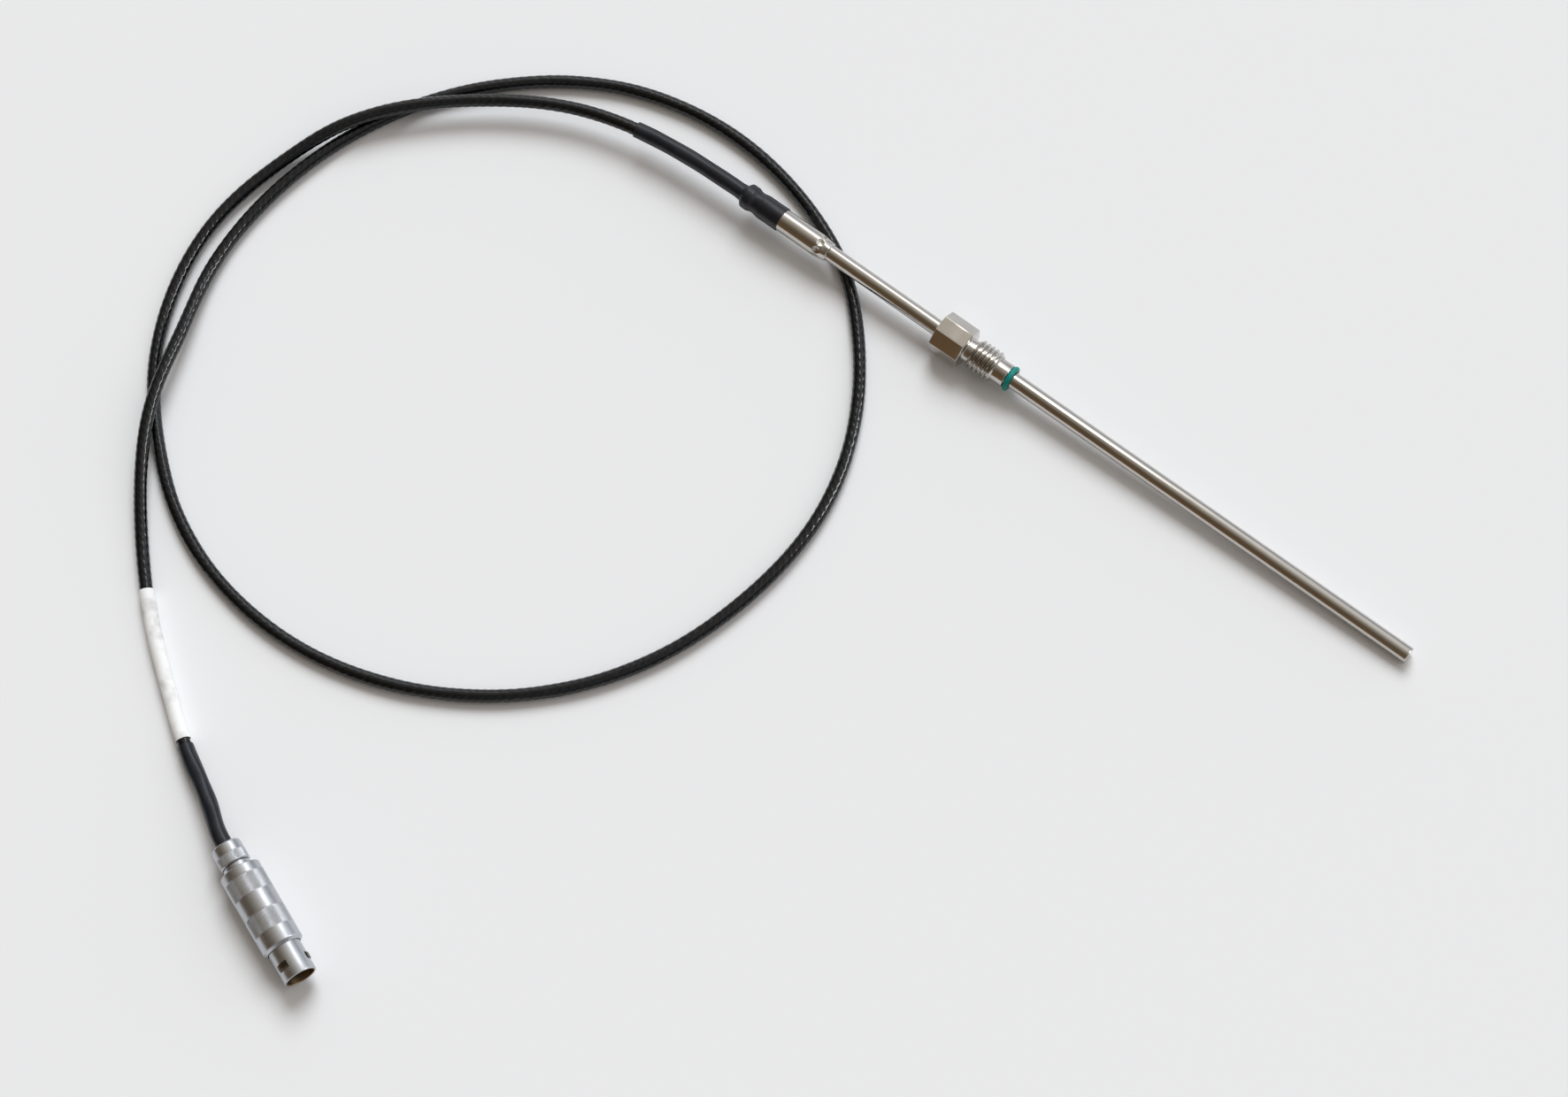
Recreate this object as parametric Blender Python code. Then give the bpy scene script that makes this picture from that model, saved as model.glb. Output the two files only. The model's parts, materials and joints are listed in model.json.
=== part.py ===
"""A resistance temperature probe with its cable and push-pull plug, lying on a table.

The probe leans on the front edge of its octagonal block and on its tip. Its own axis is local +X
of the empty probe_axis, from the block's front face to the tip. The plug lies on its release
sleeve, and its axis is local +X of the empty plug_axis, from its rear to its mouth.
"""

import math

import bmesh
import bpy
import numpy as np
from mathutils import Matrix, Vector

MM = 0.001

# Clearances
FIT = 0.15 * MM  # radial, between a round piece and the bore around it
SEAT = 0.3 * MM  # along the axis, between faces that meet
SHRINK_FIT = 0.08 * MM  # radial, under heat-shrink tubing
SLIDE_FIT = 0.15 * MM  # radial, under the release sleeve

CUTTER_MARGIN = 1.0 * MM  # past the walls that it cuts

# Sides of the round pieces
SIDES = 32
SMALL_SIDES = 12
BOOT_SIDES = 24
SHARP_ANGLE = math.radians(30)

# Sheath
SHEATH_RADIUS = 2.5 * MM
SHEATH_WALL = 0.5 * MM
SHEATH_REACH = 156.0 * MM  # block's front face to the tip
SHEATH_TAIL = 56.0 * MM  # block's front face to the open rear end
TIP_WALL = 0.8 * MM
TIP_EDGE = 0.4 * MM

# Process fitting
BLOCK_LENGTH = 10.0 * MM
BLOCK_HALF_WIDTH = 6.0 * MM  # half of the 12 mm across the flats
BLOCK_SIDES = 8
BLOCK_EDGE = 0.35 * MM
CORNER_BREAK = math.radians(1.2)
RELIEF_RADIUS = 3.7 * MM
RELIEF_LENGTH = 2.2 * MM
THREAD_CREST = 5.0 * MM
THREAD_DEPTH = 0.92 * MM
THREAD_PITCH = 1.5 * MM
THREAD_END = 10.6 * MM
THREAD_ROWS_PER_PITCH = 6
CREST_SHARE = 0.125
ROOT_SHARE = 0.25
NOSE_RADIUS = 3.7 * MM
NOSE_END = 14.6 * MM
NOSE_EDGE = 0.3 * MM

# O-ring
RING_SECTION = 0.75 * MM
RING_FIT = 0.06 * MM

# Transition sleeve, crimped down to the sheath at its front end
SLEEVE_RADIUS = 3.5 * MM
SLEEVE_WALL = 0.5 * MM
SLEEVE_OVERLAP = 5.4 * MM  # over the sheath's rear end
SLEEVE_LENGTH = 25.0 * MM
SLEEVE_FRONT = SHEATH_TAIL - SLEEVE_OVERLAP
SLEEVE_REAR = SLEEVE_FRONT + SLEEVE_LENGTH
CRIMP_RADIUS = 3.0 * MM
CRIMP_LENGTH = 4.8 * MM
CRIMP_BORE_LENGTH = 5.8 * MM
CRIMP_LIP = 0.4 * MM
DIMPLES = 8
DIMPLE_DEPTH = 0.32 * MM
DIMPLE_RADIUS = 1.0 * MM
DIMPLE_AT = 3.4 * MM  # behind the sleeve's front end
SLEEVE_COLUMNS = 48
CRIMP_ROWS = 12
CRIMP_ROWS_PAST = 0.2 * MM  # behind the crimp, where the last of its rows stands

# Ferrule behind the transition sleeve
FERRULE_RADIUS = 3.4 * MM
FERRULE_LENGTH = 2.6 * MM
FERRULE_GAP = 3.4 * MM  # behind the sleeve's rear end
FERRULE_EDGE = 0.4 * MM

# Heat-shrink boot at the probe
BOOT_WALL = 0.25 * MM
BOOT_CABLE_WALL = 0.38 * MM
BOOT_OVERLAP = 7.4 * MM  # over the transition sleeve
BOOT_WAIST_RADIUS = 3.1 * MM
BOOT_WAIST_SHARE = 0.45  # of the way from the transition sleeve to the ferrule
BOOT_FERRULE_WALL = 0.3 * MM
BOOT_LENGTH = 53.3 * MM

# Sensing element and its leads
ELEMENT_RADIUS = 1.7 * MM
ELEMENT_LENGTH = 15.0 * MM
ELEMENT_EDGE = 0.2 * MM
WIRES = 4
WIRE_RADIUS = 0.35 * MM
WIRE_CIRCLE = 1.0 * MM
WIRE_TAIL = 1.7 * MM  # past the sheath's open end
SPLICE_RADIUS = 0.6 * MM
SPLICE_LENGTH = 6.2 * MM
CORE_RADIUS = 0.45 * MM
CORE_LENGTH = 6.2 * MM
POTTING_LENGTH = 4.0 * MM
POTTING_DEPTH = 0.5 * MM

# Cable
CABLE_RADIUS = 2.0 * MM
CABLE_STEP = 12.6 * MM
CABLE_RINGS = 2

# Marker sleeve and the plug's boot, in distances back from the plug's rear end
MARKER_WALL = 0.2 * MM
MARKER_LENGTH = 47.5 * MM
MARKER_GAP = 1.9 * MM  # bare cable between the marker sleeve and the boot
PLUG_BOOT_LENGTH = 36.0 * MM
PLUG_BOOT_INSIDE = 2.4 * MM  # inside the nut

# Collet nut
NUT_RADIUS = 4.525 * MM
NUT_LENGTH = 6.6 * MM
NUT_ROUNDING = 0.8 * MM
NUT_REAR_WALL = 2.7 * MM
NUT_THREAD_BORE = 3.6 * MM
NUT_BORE_FIT = 0.3 * MM  # radial, round the boot, which comes in a little aslant

# Collet
COLLET_FLANGE_LENGTH = 1.0 * MM
COLLET_LENGTH = 6.0 * MM
COLLET_RADIUS = 2.75 * MM
COLLET_FLANGE_RADIUS = 3.3 * MM
COLLET_SLOTS = 3
COLLET_SLOT_WIDTH = 0.5 * MM
COLLET_SLOT_LENGTH = 4.4 * MM
JACKET_END = 7.0 * MM  # where the cable's jacket is cut, from the plug's rear end
LINE_TURN = -2.0 * MM  # where the cable comes into line with the plug

# Plug shell
SHELL_RADIUS = 4.925 * MM
SHELL_FRONT = 44.5 * MM
SHELL_STEP = 9.9 * MM  # where the neck meets the body
SHELL_MOUTH_BORE = 4.225 * MM
SHELL_EDGE = 0.3 * MM
NECK_RADIUS = 4.2 * MM
NECK_LENGTH = 3.0 * MM
REAR_THREAD_LENGTH = 2.6 * MM
SHELL_CABLE_BORE = 2.4 * MM
COLLET_SEAT_END = 9.5 * MM
INSERT_SEAT = 12.0 * MM
LATCH_SEAT = 24.0 * MM

# Latch sleeve with its three fingers, and the windows in the shell
LATCHES = 3
LATCH_TURN = math.radians(-35.5)  # first window, from straight up towards local +Y
LATCH_WALL = 0.35 * MM
LATCH_RING_END = 30.0 * MM
FINGER_END = 41.4 * MM
FINGER_SLOT_STEPS = 12
WINDOW_START = 39.2 * MM
WINDOW_LENGTH = 2.25 * MM
WINDOW_WIDTH = 3.7 * MM
TANG_PROUD = 0.3 * MM
TANG_GAP = 0.2 * MM
TANG_SLOPE = 0.4 * MM  # along the axis, on the tang's front

# Release sleeve
RELEASE_RADIUS = 6.15 * MM
RELEASE_START = 8.6 * MM
RELEASE_END = 34.9 * MM
RELEASE_LIP = 1.0 * MM
RELEASE_EDGE = 0.5 * MM
RELEASE_FRONT_EDGE = 0.9 * MM

# Contacts
INSERT_RADIUS = 3.6 * MM
INSERT_END = 34.5 * MM
PIN_RADIUS = 0.45 * MM
PIN_CIRCLE = 1.7 * MM
PIN_START = 11.2 * MM
PIN_END = 38.3 * MM
PIN_TIP = 0.25 * MM

# The table's surface is z = 0. The block's front lower edge and the tip's lower edge rest on it.
PITCH = math.atan2(BLOCK_HALF_WIDTH - SHEATH_RADIUS, SHEATH_REACH - TIP_EDGE + BLOCK_EDGE)
CABLE_STRAIGHT = SLEEVE_REAR + FERRULE_GAP + 2 * FERRULE_LENGTH  # where the cable starts to bend
FRONT_X = -0.5 * (SHEATH_REACH - SLEEVE_REAR) * math.cos(PITCH)
FRONT_Z = BLOCK_HALF_WIDTH * math.cos(PITCH) - BLOCK_EDGE * math.sin(PITCH)
PLUG_REAR = Vector((-119.3, -245.8, 0.0)) * MM + Vector((0, 0, RELEASE_RADIUS))
PLUG_HEADING = math.radians(-21.34)

# Points that the cable's centre line passes through between the probe's boot and the plug, in
# millimetres. It crosses over its own second turn, and under its first, on the left of the loop.
ROUTE = [
    (-181.5, -8.0, 6.9),
    (-205.5, -22.0, 6.5),
    (-217.0, -31.5, 6.5),
    (-235.5, -54.0, 5.5),
    (-242.0, -69.0, 3.4),
    (-247.5, -100.0, 2.1),
    (-242.0, -126.5, 2.05),
    (-231.0, -147.0, 2.05),
    (-217.5, -161.5, 2.05),
    (-197.5, -176.5, 2.05),
    (-165.5, -187.0, 2.05),
    (-133.0, -186.0, 2.05),
    (-100.5, -174.0, 2.05),
    (-75.0, -154.5, 2.05),
    (-56.5, -128.5, 2.05),
    (-46.5, -98.0, 2.05),
    (-45.0, -65.0, 2.05),
    (-55.0, -35.0, 2.05),
    (-73.5, -10.5, 2.05),
    (-86.0, 0.0, 2.05),
    (-98.5, 6.5, 2.05),
    (-122.5, 13.5, 2.05),
    (-147.0, 14.5, 2.05),
    (-176.5, 7.0, 2.05),
    (-201.0, -9.0, 2.05),
    (-220.5, -31.0, 2.05),
    (-233.5, -57.0, 2.05),
    (-239.5, -86.0, 2.05),
    (-238.0, -112.5, 2.8),
    (-231.0, -134.0, 5.4),
    (-224.0, -154.5, 6.5),
    (-217.0, -167.5, 5.3),
    (-199.5, -189.5, 2.5),
    (-182.0, -206.0, 2.35),
    (-161.0, -221.5, 2.35),
    (-149.0, -229.5, 2.9),
    (-130.5, -239.5, 5.0),
]

STEEL = ("stainless_steel", (0.56, 0.54, 0.50), 0.22, 1.0)
NICKEL = ("satin_nickel", (0.62, 0.62, 0.62), 0.3, 1.0)
SEAL = ("teal_rubber", (0.0, 0.17, 0.14), 0.45, 0.0)
SHRINK = ("black_heat_shrink", (0.025, 0.026, 0.03), 0.5, 0.0)
JACKET = ("black_cable", (0.012, 0.012, 0.013), 0.3, 0.0)
MARKER = ("white_sleeve", (0.78, 0.78, 0.77), 0.55, 0.0)
CERAMIC = ("white_ceramic", (0.75, 0.73, 0.68), 0.6, 0.0)
EPOXY = ("potting_resin", (0.05, 0.045, 0.04), 0.4, 0.0)
COPPER = ("tinned_copper", (0.7, 0.66, 0.6), 0.35, 1.0)
GOLD = ("gold_plate", (0.8, 0.58, 0.22), 0.25, 1.0)
INSULATOR = ("brown_insulator", (0.09, 0.05, 0.03), 0.45, 0.0)
WIRE_COLOURS = [
    ("red_wire", (0.5, 0.02, 0.02), 0.5, 0.0),
    ("crimson_wire", (0.4, 0.03, 0.05), 0.5, 0.0),
    ("white_wire", (0.75, 0.75, 0.72), 0.5, 0.0),
    ("ivory_wire", (0.7, 0.68, 0.6), 0.5, 0.0),
]


def clear_scene():
    for obj in list(bpy.data.objects):
        bpy.data.objects.remove(obj, do_unlink=True)


def material(look):
    name, colour, roughness, metallic = look
    found = bpy.data.materials.get(name)
    if found:
        return found
    made = bpy.data.materials.new(name)
    made.use_nodes = True
    shader = made.node_tree.nodes["Principled BSDF"]
    shader.inputs["Base Color"].default_value = (*colour, 1.0)
    shader.inputs["Roughness"].default_value = roughness
    shader.inputs["Metallic"].default_value = metallic
    return made


def empty(name, location, rotation):
    obj = bpy.data.objects.new(name, None)
    obj.location = location
    obj.rotation_euler = rotation
    bpy.context.scene.collection.objects.link(obj)
    return obj


def add(name, data, look, parent=None, offset=(0.0, 0.0, 0.0)):
    """Links a new object and gives it its material."""
    obj = bpy.data.objects.new(name, data)
    bpy.context.scene.collection.objects.link(obj)
    obj.location = offset
    obj.parent = parent
    if look:
        data.materials.append(material(look))
    return obj


def mesh_from(name, bm):
    bmesh.ops.recalc_face_normals(bm, faces=bm.faces)
    mesh = bpy.data.meshes.new(name)
    bm.to_mesh(mesh)
    bm.free()
    mesh.shade_smooth()
    mesh.set_sharp_from_angle(angle=SHARP_ANGLE)
    return mesh


def turned_mesh(name, outline, sides=SIDES):
    """A solid of revolution about local X. The outline's points are (distance along X, radius),
    closed into a ring unless its first and last points lie on the axis."""
    bm = bmesh.new()
    verts = [bm.verts.new((along, 0.0, radius)) for along, radius in outline]
    pairs = list(zip(verts, verts[1:]))
    if outline[0][1] > 0:
        pairs.append((verts[-1], verts[0]))
    edges = [bm.edges.new(pair) for pair in pairs]
    bmesh.ops.spin(
        bm, geom=verts + edges, cent=(0, 0, 0), axis=(1, 0, 0), angle=math.tau, steps=sides, use_merge=True
    )
    bmesh.ops.remove_doubles(bm, verts=bm.verts, dist=0.001 * MM)
    return mesh_from(name, bm)


def turned(name, outline, look, parent, sides=SIDES, offset=(0.0, 0.0, 0.0)):
    return add(name, turned_mesh(name, outline, sides), look, parent, offset)


def ring_grid(name, rows):
    """A closed mesh from rings of points: each ring joins the next, and the last joins the first."""
    bm = bmesh.new()
    rings = [[bm.verts.new(point) for point in row] for row in rows]
    for ring, following in zip(rings, rings[1:] + rings[:1]):
        for i in range(len(ring)):
            j = (i + 1) % len(ring)
            bm.faces.new((ring[i], ring[j], following[j], following[i]))
    return mesh_from(name, bm)


def around(along, angles, radii):
    """Points round local X. Angles run from straight up towards local +Y."""
    return [(along, r * math.sin(a), r * math.cos(a)) for a, r in zip(angles, radii)]


def rod_outline(start, end, radius):
    return [(start, 0.0), (start, radius), (end, radius), (end, 0.0)]


def circle_spots(count, radius, turn=0.0):
    """Places spaced evenly on a circle about local X."""
    steps = [turn + math.tau * i / count for i in range(count)]
    return [(0.0, radius * math.sin(a), radius * math.cos(a)) for a in steps]


def cutter(name, mesh, parent):
    obj = add(name, mesh, None, parent)
    obj.hide_render = True
    obj.display_type = "WIRE"
    return obj


def cut(obj, tool):
    modifier = obj.modifiers.new(tool.name, "BOOLEAN")
    modifier.operation = "DIFFERENCE"
    modifier.solver = "EXACT"
    modifier.object = tool


def sectors_mesh(name, start, end, inner, outer, ranges, steps=6):
    """Separate blocks, each between two radii, two stations and the two angles of its range."""
    bm = bmesh.new()
    for low, high in ranges:
        angles = [low + (high - low) * i / steps for i in range(steps + 1)]
        sections = []
        for along in (start, end):
            near = around(along, angles, [inner] * len(angles))
            far = around(along, angles[::-1], [outer] * len(angles))
            sections.append([bm.verts.new(point) for point in near + far])
        first, last = sections
        bm.faces.new(first)
        bm.faces.new(last)
        for i in range(len(first)):
            j = (i + 1) % len(first)
            bm.faces.new((first[i], first[j], last[j], last[i]))
    return mesh_from(name, bm)


def holes_mesh(name, start, end, radius, spots):
    """Separate round rods along local X, one at each spot."""
    bm = bmesh.new()
    for spot in spots:
        place = Matrix.Translation(Vector((0.5 * (start + end), spot[1], spot[2])))
        turn = Matrix.Rotation(math.pi / 2, 4, "Y")
        bmesh.ops.create_cone(
            bm,
            cap_ends=True,
            segments=SMALL_SIDES,
            radius1=radius,
            radius2=radius,
            depth=end - start,
            matrix=place @ turn,
        )
    return mesh_from(name, bm)


def tube_curve(name, points, radius, rings, look, parent=None):
    """A round rod along a line of points, with flat ends."""
    curve = bpy.data.curves.new(name, "CURVE")
    curve.dimensions = "3D"
    curve.bevel_depth = radius
    curve.bevel_resolution = rings
    curve.use_fill_caps = True
    spline = curve.splines.new("POLY")
    spline.points.add(len(points) - 1)
    for place, point in zip(spline.points, points):
        place.co = (*point, 1.0)
    return add(name, curve, look, parent)


class Line:
    """A line of straight runs between points, read by the distance along it."""

    def __init__(self, points):
        self.points = np.array([tuple(point) for point in points])
        steps = np.linalg.norm(np.diff(self.points, axis=0), axis=1)
        self.distances = np.concatenate([[0.0], np.cumsum(steps)])
        self.length = float(self.distances[-1])

    def at(self, distance):
        return Vector([float(np.interp(distance, self.distances, self.points[:, k])) for k in range(3)])

    def heading(self, distance):
        reach = 0.2 * MM
        return (self.at(distance + reach) - self.at(distance - reach)).normalized()

    def stations(self, start, end):
        """The two distances, and those of the points between them."""
        clear = 1.0 * MM
        inside = [float(d) for d in self.distances if start + clear < d < end - clear]
        return [start] + inside + [end]


def smooth_line(points, steps=40):
    """Close points on the curve through the given points whose bending is continuous."""
    places = np.array([tuple(point) for point in points])
    count = len(places)
    chords = np.linalg.norm(np.diff(places, axis=0), axis=1)
    system = np.eye(count)
    right = np.zeros_like(places)
    for i in range(1, count - 1):
        system[i, i - 1 : i + 2] = (chords[i - 1], 2 * (chords[i - 1] + chords[i]), chords[i])
        after = (places[i + 1] - places[i]) / chords[i]
        before = (places[i] - places[i - 1]) / chords[i - 1]
        right[i] = 6 * (after - before)
    bends = np.linalg.solve(system, right)
    fine = []
    for i, chord in enumerate(chords):
        for u in np.linspace(0, chord, steps, endpoint=False):
            v = chord - u
            curve = (bends[i] * v**3 + bends[i + 1] * u**3) / (6 * chord)
            start = (places[i] / chord - bends[i] * chord / 6) * v
            end = (places[i + 1] / chord - bends[i + 1] * chord / 6) * u
            fine.append(curve + start + end)
    fine.append(places[-1])
    return Line(fine)


def sleeve_along(name, line, stations, look, sides=BOOT_SIDES):
    """A tube wall round a line. A station is (distance along it, outer radius, inner radius)."""
    outer_rows = []
    inner_rows = []
    for distance, outer, inner in stations:
        centre = line.at(distance)
        ahead = line.heading(distance)
        side = Vector((0, 0, 1)).cross(ahead).normalized()
        up = ahead.cross(side)
        turns = [math.tau * i / sides for i in range(sides)]
        spokes = [side * math.cos(a) + up * math.sin(a) for a in turns]
        outer_rows.append([centre + spoke * outer for spoke in spokes])
        inner_rows.append([centre + spoke * inner for spoke in spokes])
    return add(name, ring_grid(name, outer_rows + inner_rows[::-1]), look)


def make_sheath(probe):
    bore = SHEATH_RADIUS - SHEATH_WALL
    outline = [
        (SHEATH_REACH - TIP_WALL, 0.0),
        (SHEATH_REACH - TIP_WALL, bore),
        (-SHEATH_TAIL, bore),
        (-SHEATH_TAIL, SHEATH_RADIUS),
        (SHEATH_REACH - TIP_EDGE, SHEATH_RADIUS),
        (SHEATH_REACH, SHEATH_RADIUS - TIP_EDGE),
        (SHEATH_REACH, 0.0),
    ]
    turned("probe_sheath", outline, STEEL, probe)


def thread_radius(along, angle):
    """The thread's outer surface, a right-hand helix with flat crests and roots."""
    turn = (along / THREAD_PITCH - angle / math.tau) % 1.0
    slope = (abs(2 * turn - 1) - ROOT_SHARE) / (1 - ROOT_SHARE - CREST_SHARE)
    root = THREAD_CREST - THREAD_DEPTH
    height = THREAD_DEPTH * min(max(slope, 0.0), 1.0)
    run_in = min(along - RELIEF_LENGTH, THREAD_END - along)
    return root + min(height, max(run_in, 0.0))


def block_radii(angles, half_width):
    """The regular prism's outline: the distance from the axis to the flat that faces each angle."""
    step = math.tau / BLOCK_SIDES
    offsets = [(angle + step / 2) % step - step / 2 for angle in angles]
    return [half_width / math.cos(offset) for offset in offsets]


def make_fitting(probe):
    half_step = math.pi / BLOCK_SIDES
    corner = half_step - CORNER_BREAK
    columns = (-corner, -corner / 2, 0.0, corner / 2, corner)
    angles = [2 * half_step * k + column for k in range(BLOCK_SIDES) for column in columns]

    def plain(along, radius):
        return around(along, angles, [radius] * len(angles))

    full = block_radii(angles, BLOCK_HALF_WIDTH)
    eased = block_radii(angles, BLOCK_HALF_WIDTH - BLOCK_EDGE)
    rows = [
        around(-BLOCK_LENGTH, angles, eased),
        around(-BLOCK_LENGTH + BLOCK_EDGE, angles, full),
        around(-BLOCK_EDGE, angles, full),
        around(0.0, angles, eased),
        plain(0.0, RELIEF_RADIUS),
        plain(RELIEF_LENGTH, RELIEF_RADIUS),
    ]
    threads = THREAD_END - RELIEF_LENGTH
    count = round(threads / THREAD_PITCH * THREAD_ROWS_PER_PITCH)
    for i in range(count + 1):
        along = RELIEF_LENGTH + threads * i / count
        rows.append(around(along, angles, [thread_radius(along, angle) for angle in angles]))
    bore = SHEATH_RADIUS + FIT
    rows += [
        plain(THREAD_END, NOSE_RADIUS),
        plain(NOSE_END - NOSE_EDGE, NOSE_RADIUS),
        plain(NOSE_END, NOSE_RADIUS - NOSE_EDGE),
        plain(NOSE_END, bore),
        plain(-BLOCK_LENGTH, bore),
    ]
    add("process_fitting", ring_grid("process_fitting", rows), STEEL, probe)


def make_o_ring(probe):
    centre = NOSE_END + FIT + RING_SECTION
    middle = SHEATH_RADIUS + RING_FIT + RING_SECTION
    turns = [math.tau * i / SMALL_SIDES for i in range(SMALL_SIDES)]
    outline = [(centre + RING_SECTION * math.sin(a), middle + RING_SECTION * math.cos(a)) for a in turns]
    turned("o_ring", outline, SEAL, probe)


def crimped_radius(along, angle):
    """The transition sleeve's outer surface, drawn in towards its front end and dimpled there."""
    behind = -along - SLEEVE_FRONT
    share = min(max(behind / CRIMP_LENGTH, 0.0), 1.0)
    smooth = share * share * (3 - 2 * share)
    radius = CRIMP_RADIUS + (SLEEVE_RADIUS - CRIMP_RADIUS) * smooth
    if behind < CRIMP_LIP:
        radius -= CRIMP_LIP - behind
    step = math.tau / DIMPLES
    offset = ((angle + step / 2) % step - step / 2) * radius
    away = math.hypot(offset, behind - DIMPLE_AT) / DIMPLE_RADIUS
    if away < 1.0:
        radius -= DIMPLE_DEPTH * math.cos(away * math.pi / 2)
    return radius


def make_transition_sleeve(probe):
    angles = [math.tau * i / SLEEVE_COLUMNS for i in range(SLEEVE_COLUMNS)]
    reach = CRIMP_LENGTH + CRIMP_ROWS_PAST
    stations = [-SLEEVE_FRONT - reach * i / CRIMP_ROWS for i in range(CRIMP_ROWS + 1)]
    stations.append(-SLEEVE_REAR)
    rows = [around(s, angles, [crimped_radius(s, a) for a in angles]) for s in stations]
    bore = SLEEVE_RADIUS - SLEEVE_WALL
    tight = SHEATH_RADIUS + FIT
    crimp_end = -SLEEVE_FRONT - CRIMP_BORE_LENGTH
    for s, radius in (
        (-SLEEVE_REAR, bore),
        (crimp_end - (bore - tight), bore),
        (crimp_end, tight),
        (-SLEEVE_FRONT, tight),
    ):
        rows.append(around(s, angles, [radius] * len(angles)))
    add("transition_sleeve", ring_grid("transition_sleeve", rows), STEEL, probe)


def make_ferrule(probe):
    front = -SLEEVE_REAR - FERRULE_GAP
    rear = front - FERRULE_LENGTH
    bore = CABLE_RADIUS + FIT
    outline = [
        (rear, bore),
        (rear, FERRULE_RADIUS),
        (front - FERRULE_EDGE, FERRULE_RADIUS),
        (front, FERRULE_RADIUS - FERRULE_EDGE),
        (front, bore),
    ]
    turned("cable_ferrule", outline, STEEL, probe)


def make_element(probe):
    front = SHEATH_REACH - TIP_WALL - SEAT
    rear = front - ELEMENT_LENGTH
    outline = [
        (rear, 0.0),
        (rear, ELEMENT_RADIUS),
        (front - ELEMENT_EDGE, ELEMENT_RADIUS),
        (front, ELEMENT_RADIUS - ELEMENT_EDGE),
        (front, 0.0),
    ]
    turned("sensing_element", outline, CERAMIC, probe, SMALL_SIDES * 2)
    return rear


def make_wires(probe, element_rear):
    """The element's leads, run through the potting plug to splices on the cable's cores."""
    lead_end = -SHEATH_TAIL - WIRE_TAIL
    splice_start = lead_end - SEAT
    splice_end = splice_start - SPLICE_LENGTH
    core_start = splice_end - SEAT
    core_end = core_start - CORE_LENGTH
    spots = circle_spots(WIRES, WIRE_CIRCLE)
    for number, (spot, look) in enumerate(zip(spots, WIRE_COLOURS), 1):
        _, y, z = spot
        lead = [(element_rear - SEAT, y, z), (lead_end, y, z)]
        tube_curve(f"lead_wire_{number}", lead, WIRE_RADIUS, 2, look, probe)
        splice = rod_outline(splice_start, splice_end, SPLICE_RADIUS)
        turned(f"splice_{number}", splice, COPPER, probe, SMALL_SIDES, spot)
        core = [(core_start, y, z), (core_end, y, z)]
        tube_curve(f"cable_core_{number}", core, CORE_RADIUS, 2, look, probe)
    rear = -SHEATH_TAIL + POTTING_DEPTH
    front = rear + POTTING_LENGTH
    radius = SHEATH_RADIUS - SHEATH_WALL - FIT
    plug = turned("potting_plug", rod_outline(rear, front, radius), EPOXY, probe)
    holes = holes_mesh("potting_holes", rear - CUTTER_MARGIN, front + CUTTER_MARGIN, WIRE_RADIUS + FIT, spots)
    cut(plug, cutter("potting_holes", holes, probe))
    return core_end


def make_probe_boot(line, start_offset):
    """Heat-shrink over the sleeve's end, a waist, the ferrule and the start of the cable."""
    over_sleeve = SLEEVE_RADIUS + SHRINK_FIT
    over_ferrule = FERRULE_RADIUS + SHRINK_FIT
    over_cable = CABLE_RADIUS + SHRINK_FIT
    ferrule_front = SLEEVE_REAR + FERRULE_GAP
    ferrule_rear = ferrule_front + FERRULE_LENGTH
    start = SLEEVE_REAR - BOOT_OVERLAP
    waist = SLEEVE_REAR + BOOT_WAIST_SHARE * FERRULE_GAP
    shaped = [
        (start, over_sleeve + BOOT_WALL, over_sleeve),
        (SLEEVE_REAR + SEAT, over_sleeve + BOOT_WALL, over_sleeve),
        (waist, BOOT_WAIST_RADIUS, BOOT_WAIST_RADIUS - BOOT_WALL),
        (ferrule_front - SEAT, over_ferrule + BOOT_WALL, over_ferrule),
        (ferrule_front + 0.5 * FERRULE_LENGTH, over_ferrule + BOOT_FERRULE_WALL, over_ferrule),
        (ferrule_rear + SEAT, over_ferrule + BOOT_WALL, over_ferrule),
    ]
    stations = [(distance - start_offset, outer, inner) for distance, outer, inner in shaped]
    plain_start = ferrule_rear + 2 * SEAT - start_offset
    for distance in line.stations(plain_start, start + BOOT_LENGTH - start_offset):
        stations.append((distance, over_cable + BOOT_CABLE_WALL, over_cable))
    sleeve_along("probe_boot", line, stations, SHRINK)


def cable_points(route, start, end):
    """The cable's own points, an even step apart."""
    count = round((end - start) / CABLE_STEP)
    return [route.at(start + (end - start) * i / count) for i in range(count + 1)]


def make_cable_sleeves(line, boot_end):
    """The white marker sleeve, and the heat-shrink boot that runs into the plug's nut."""
    inner = CABLE_RADIUS + SHRINK_FIT
    boot_start = boot_end - PLUG_BOOT_LENGTH
    marker_end = boot_start - MARKER_GAP
    marker_start = marker_end - MARKER_LENGTH
    for name, start, end, wall, look in (
        ("marker_sleeve", marker_start, marker_end, MARKER_WALL, MARKER),
        ("plug_boot", boot_start, boot_end, BOOT_CABLE_WALL, SHRINK),
    ):
        stations = [(distance, inner + wall, inner) for distance in line.stations(start, end)]
        sleeve_along(name, line, stations, look)


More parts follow.
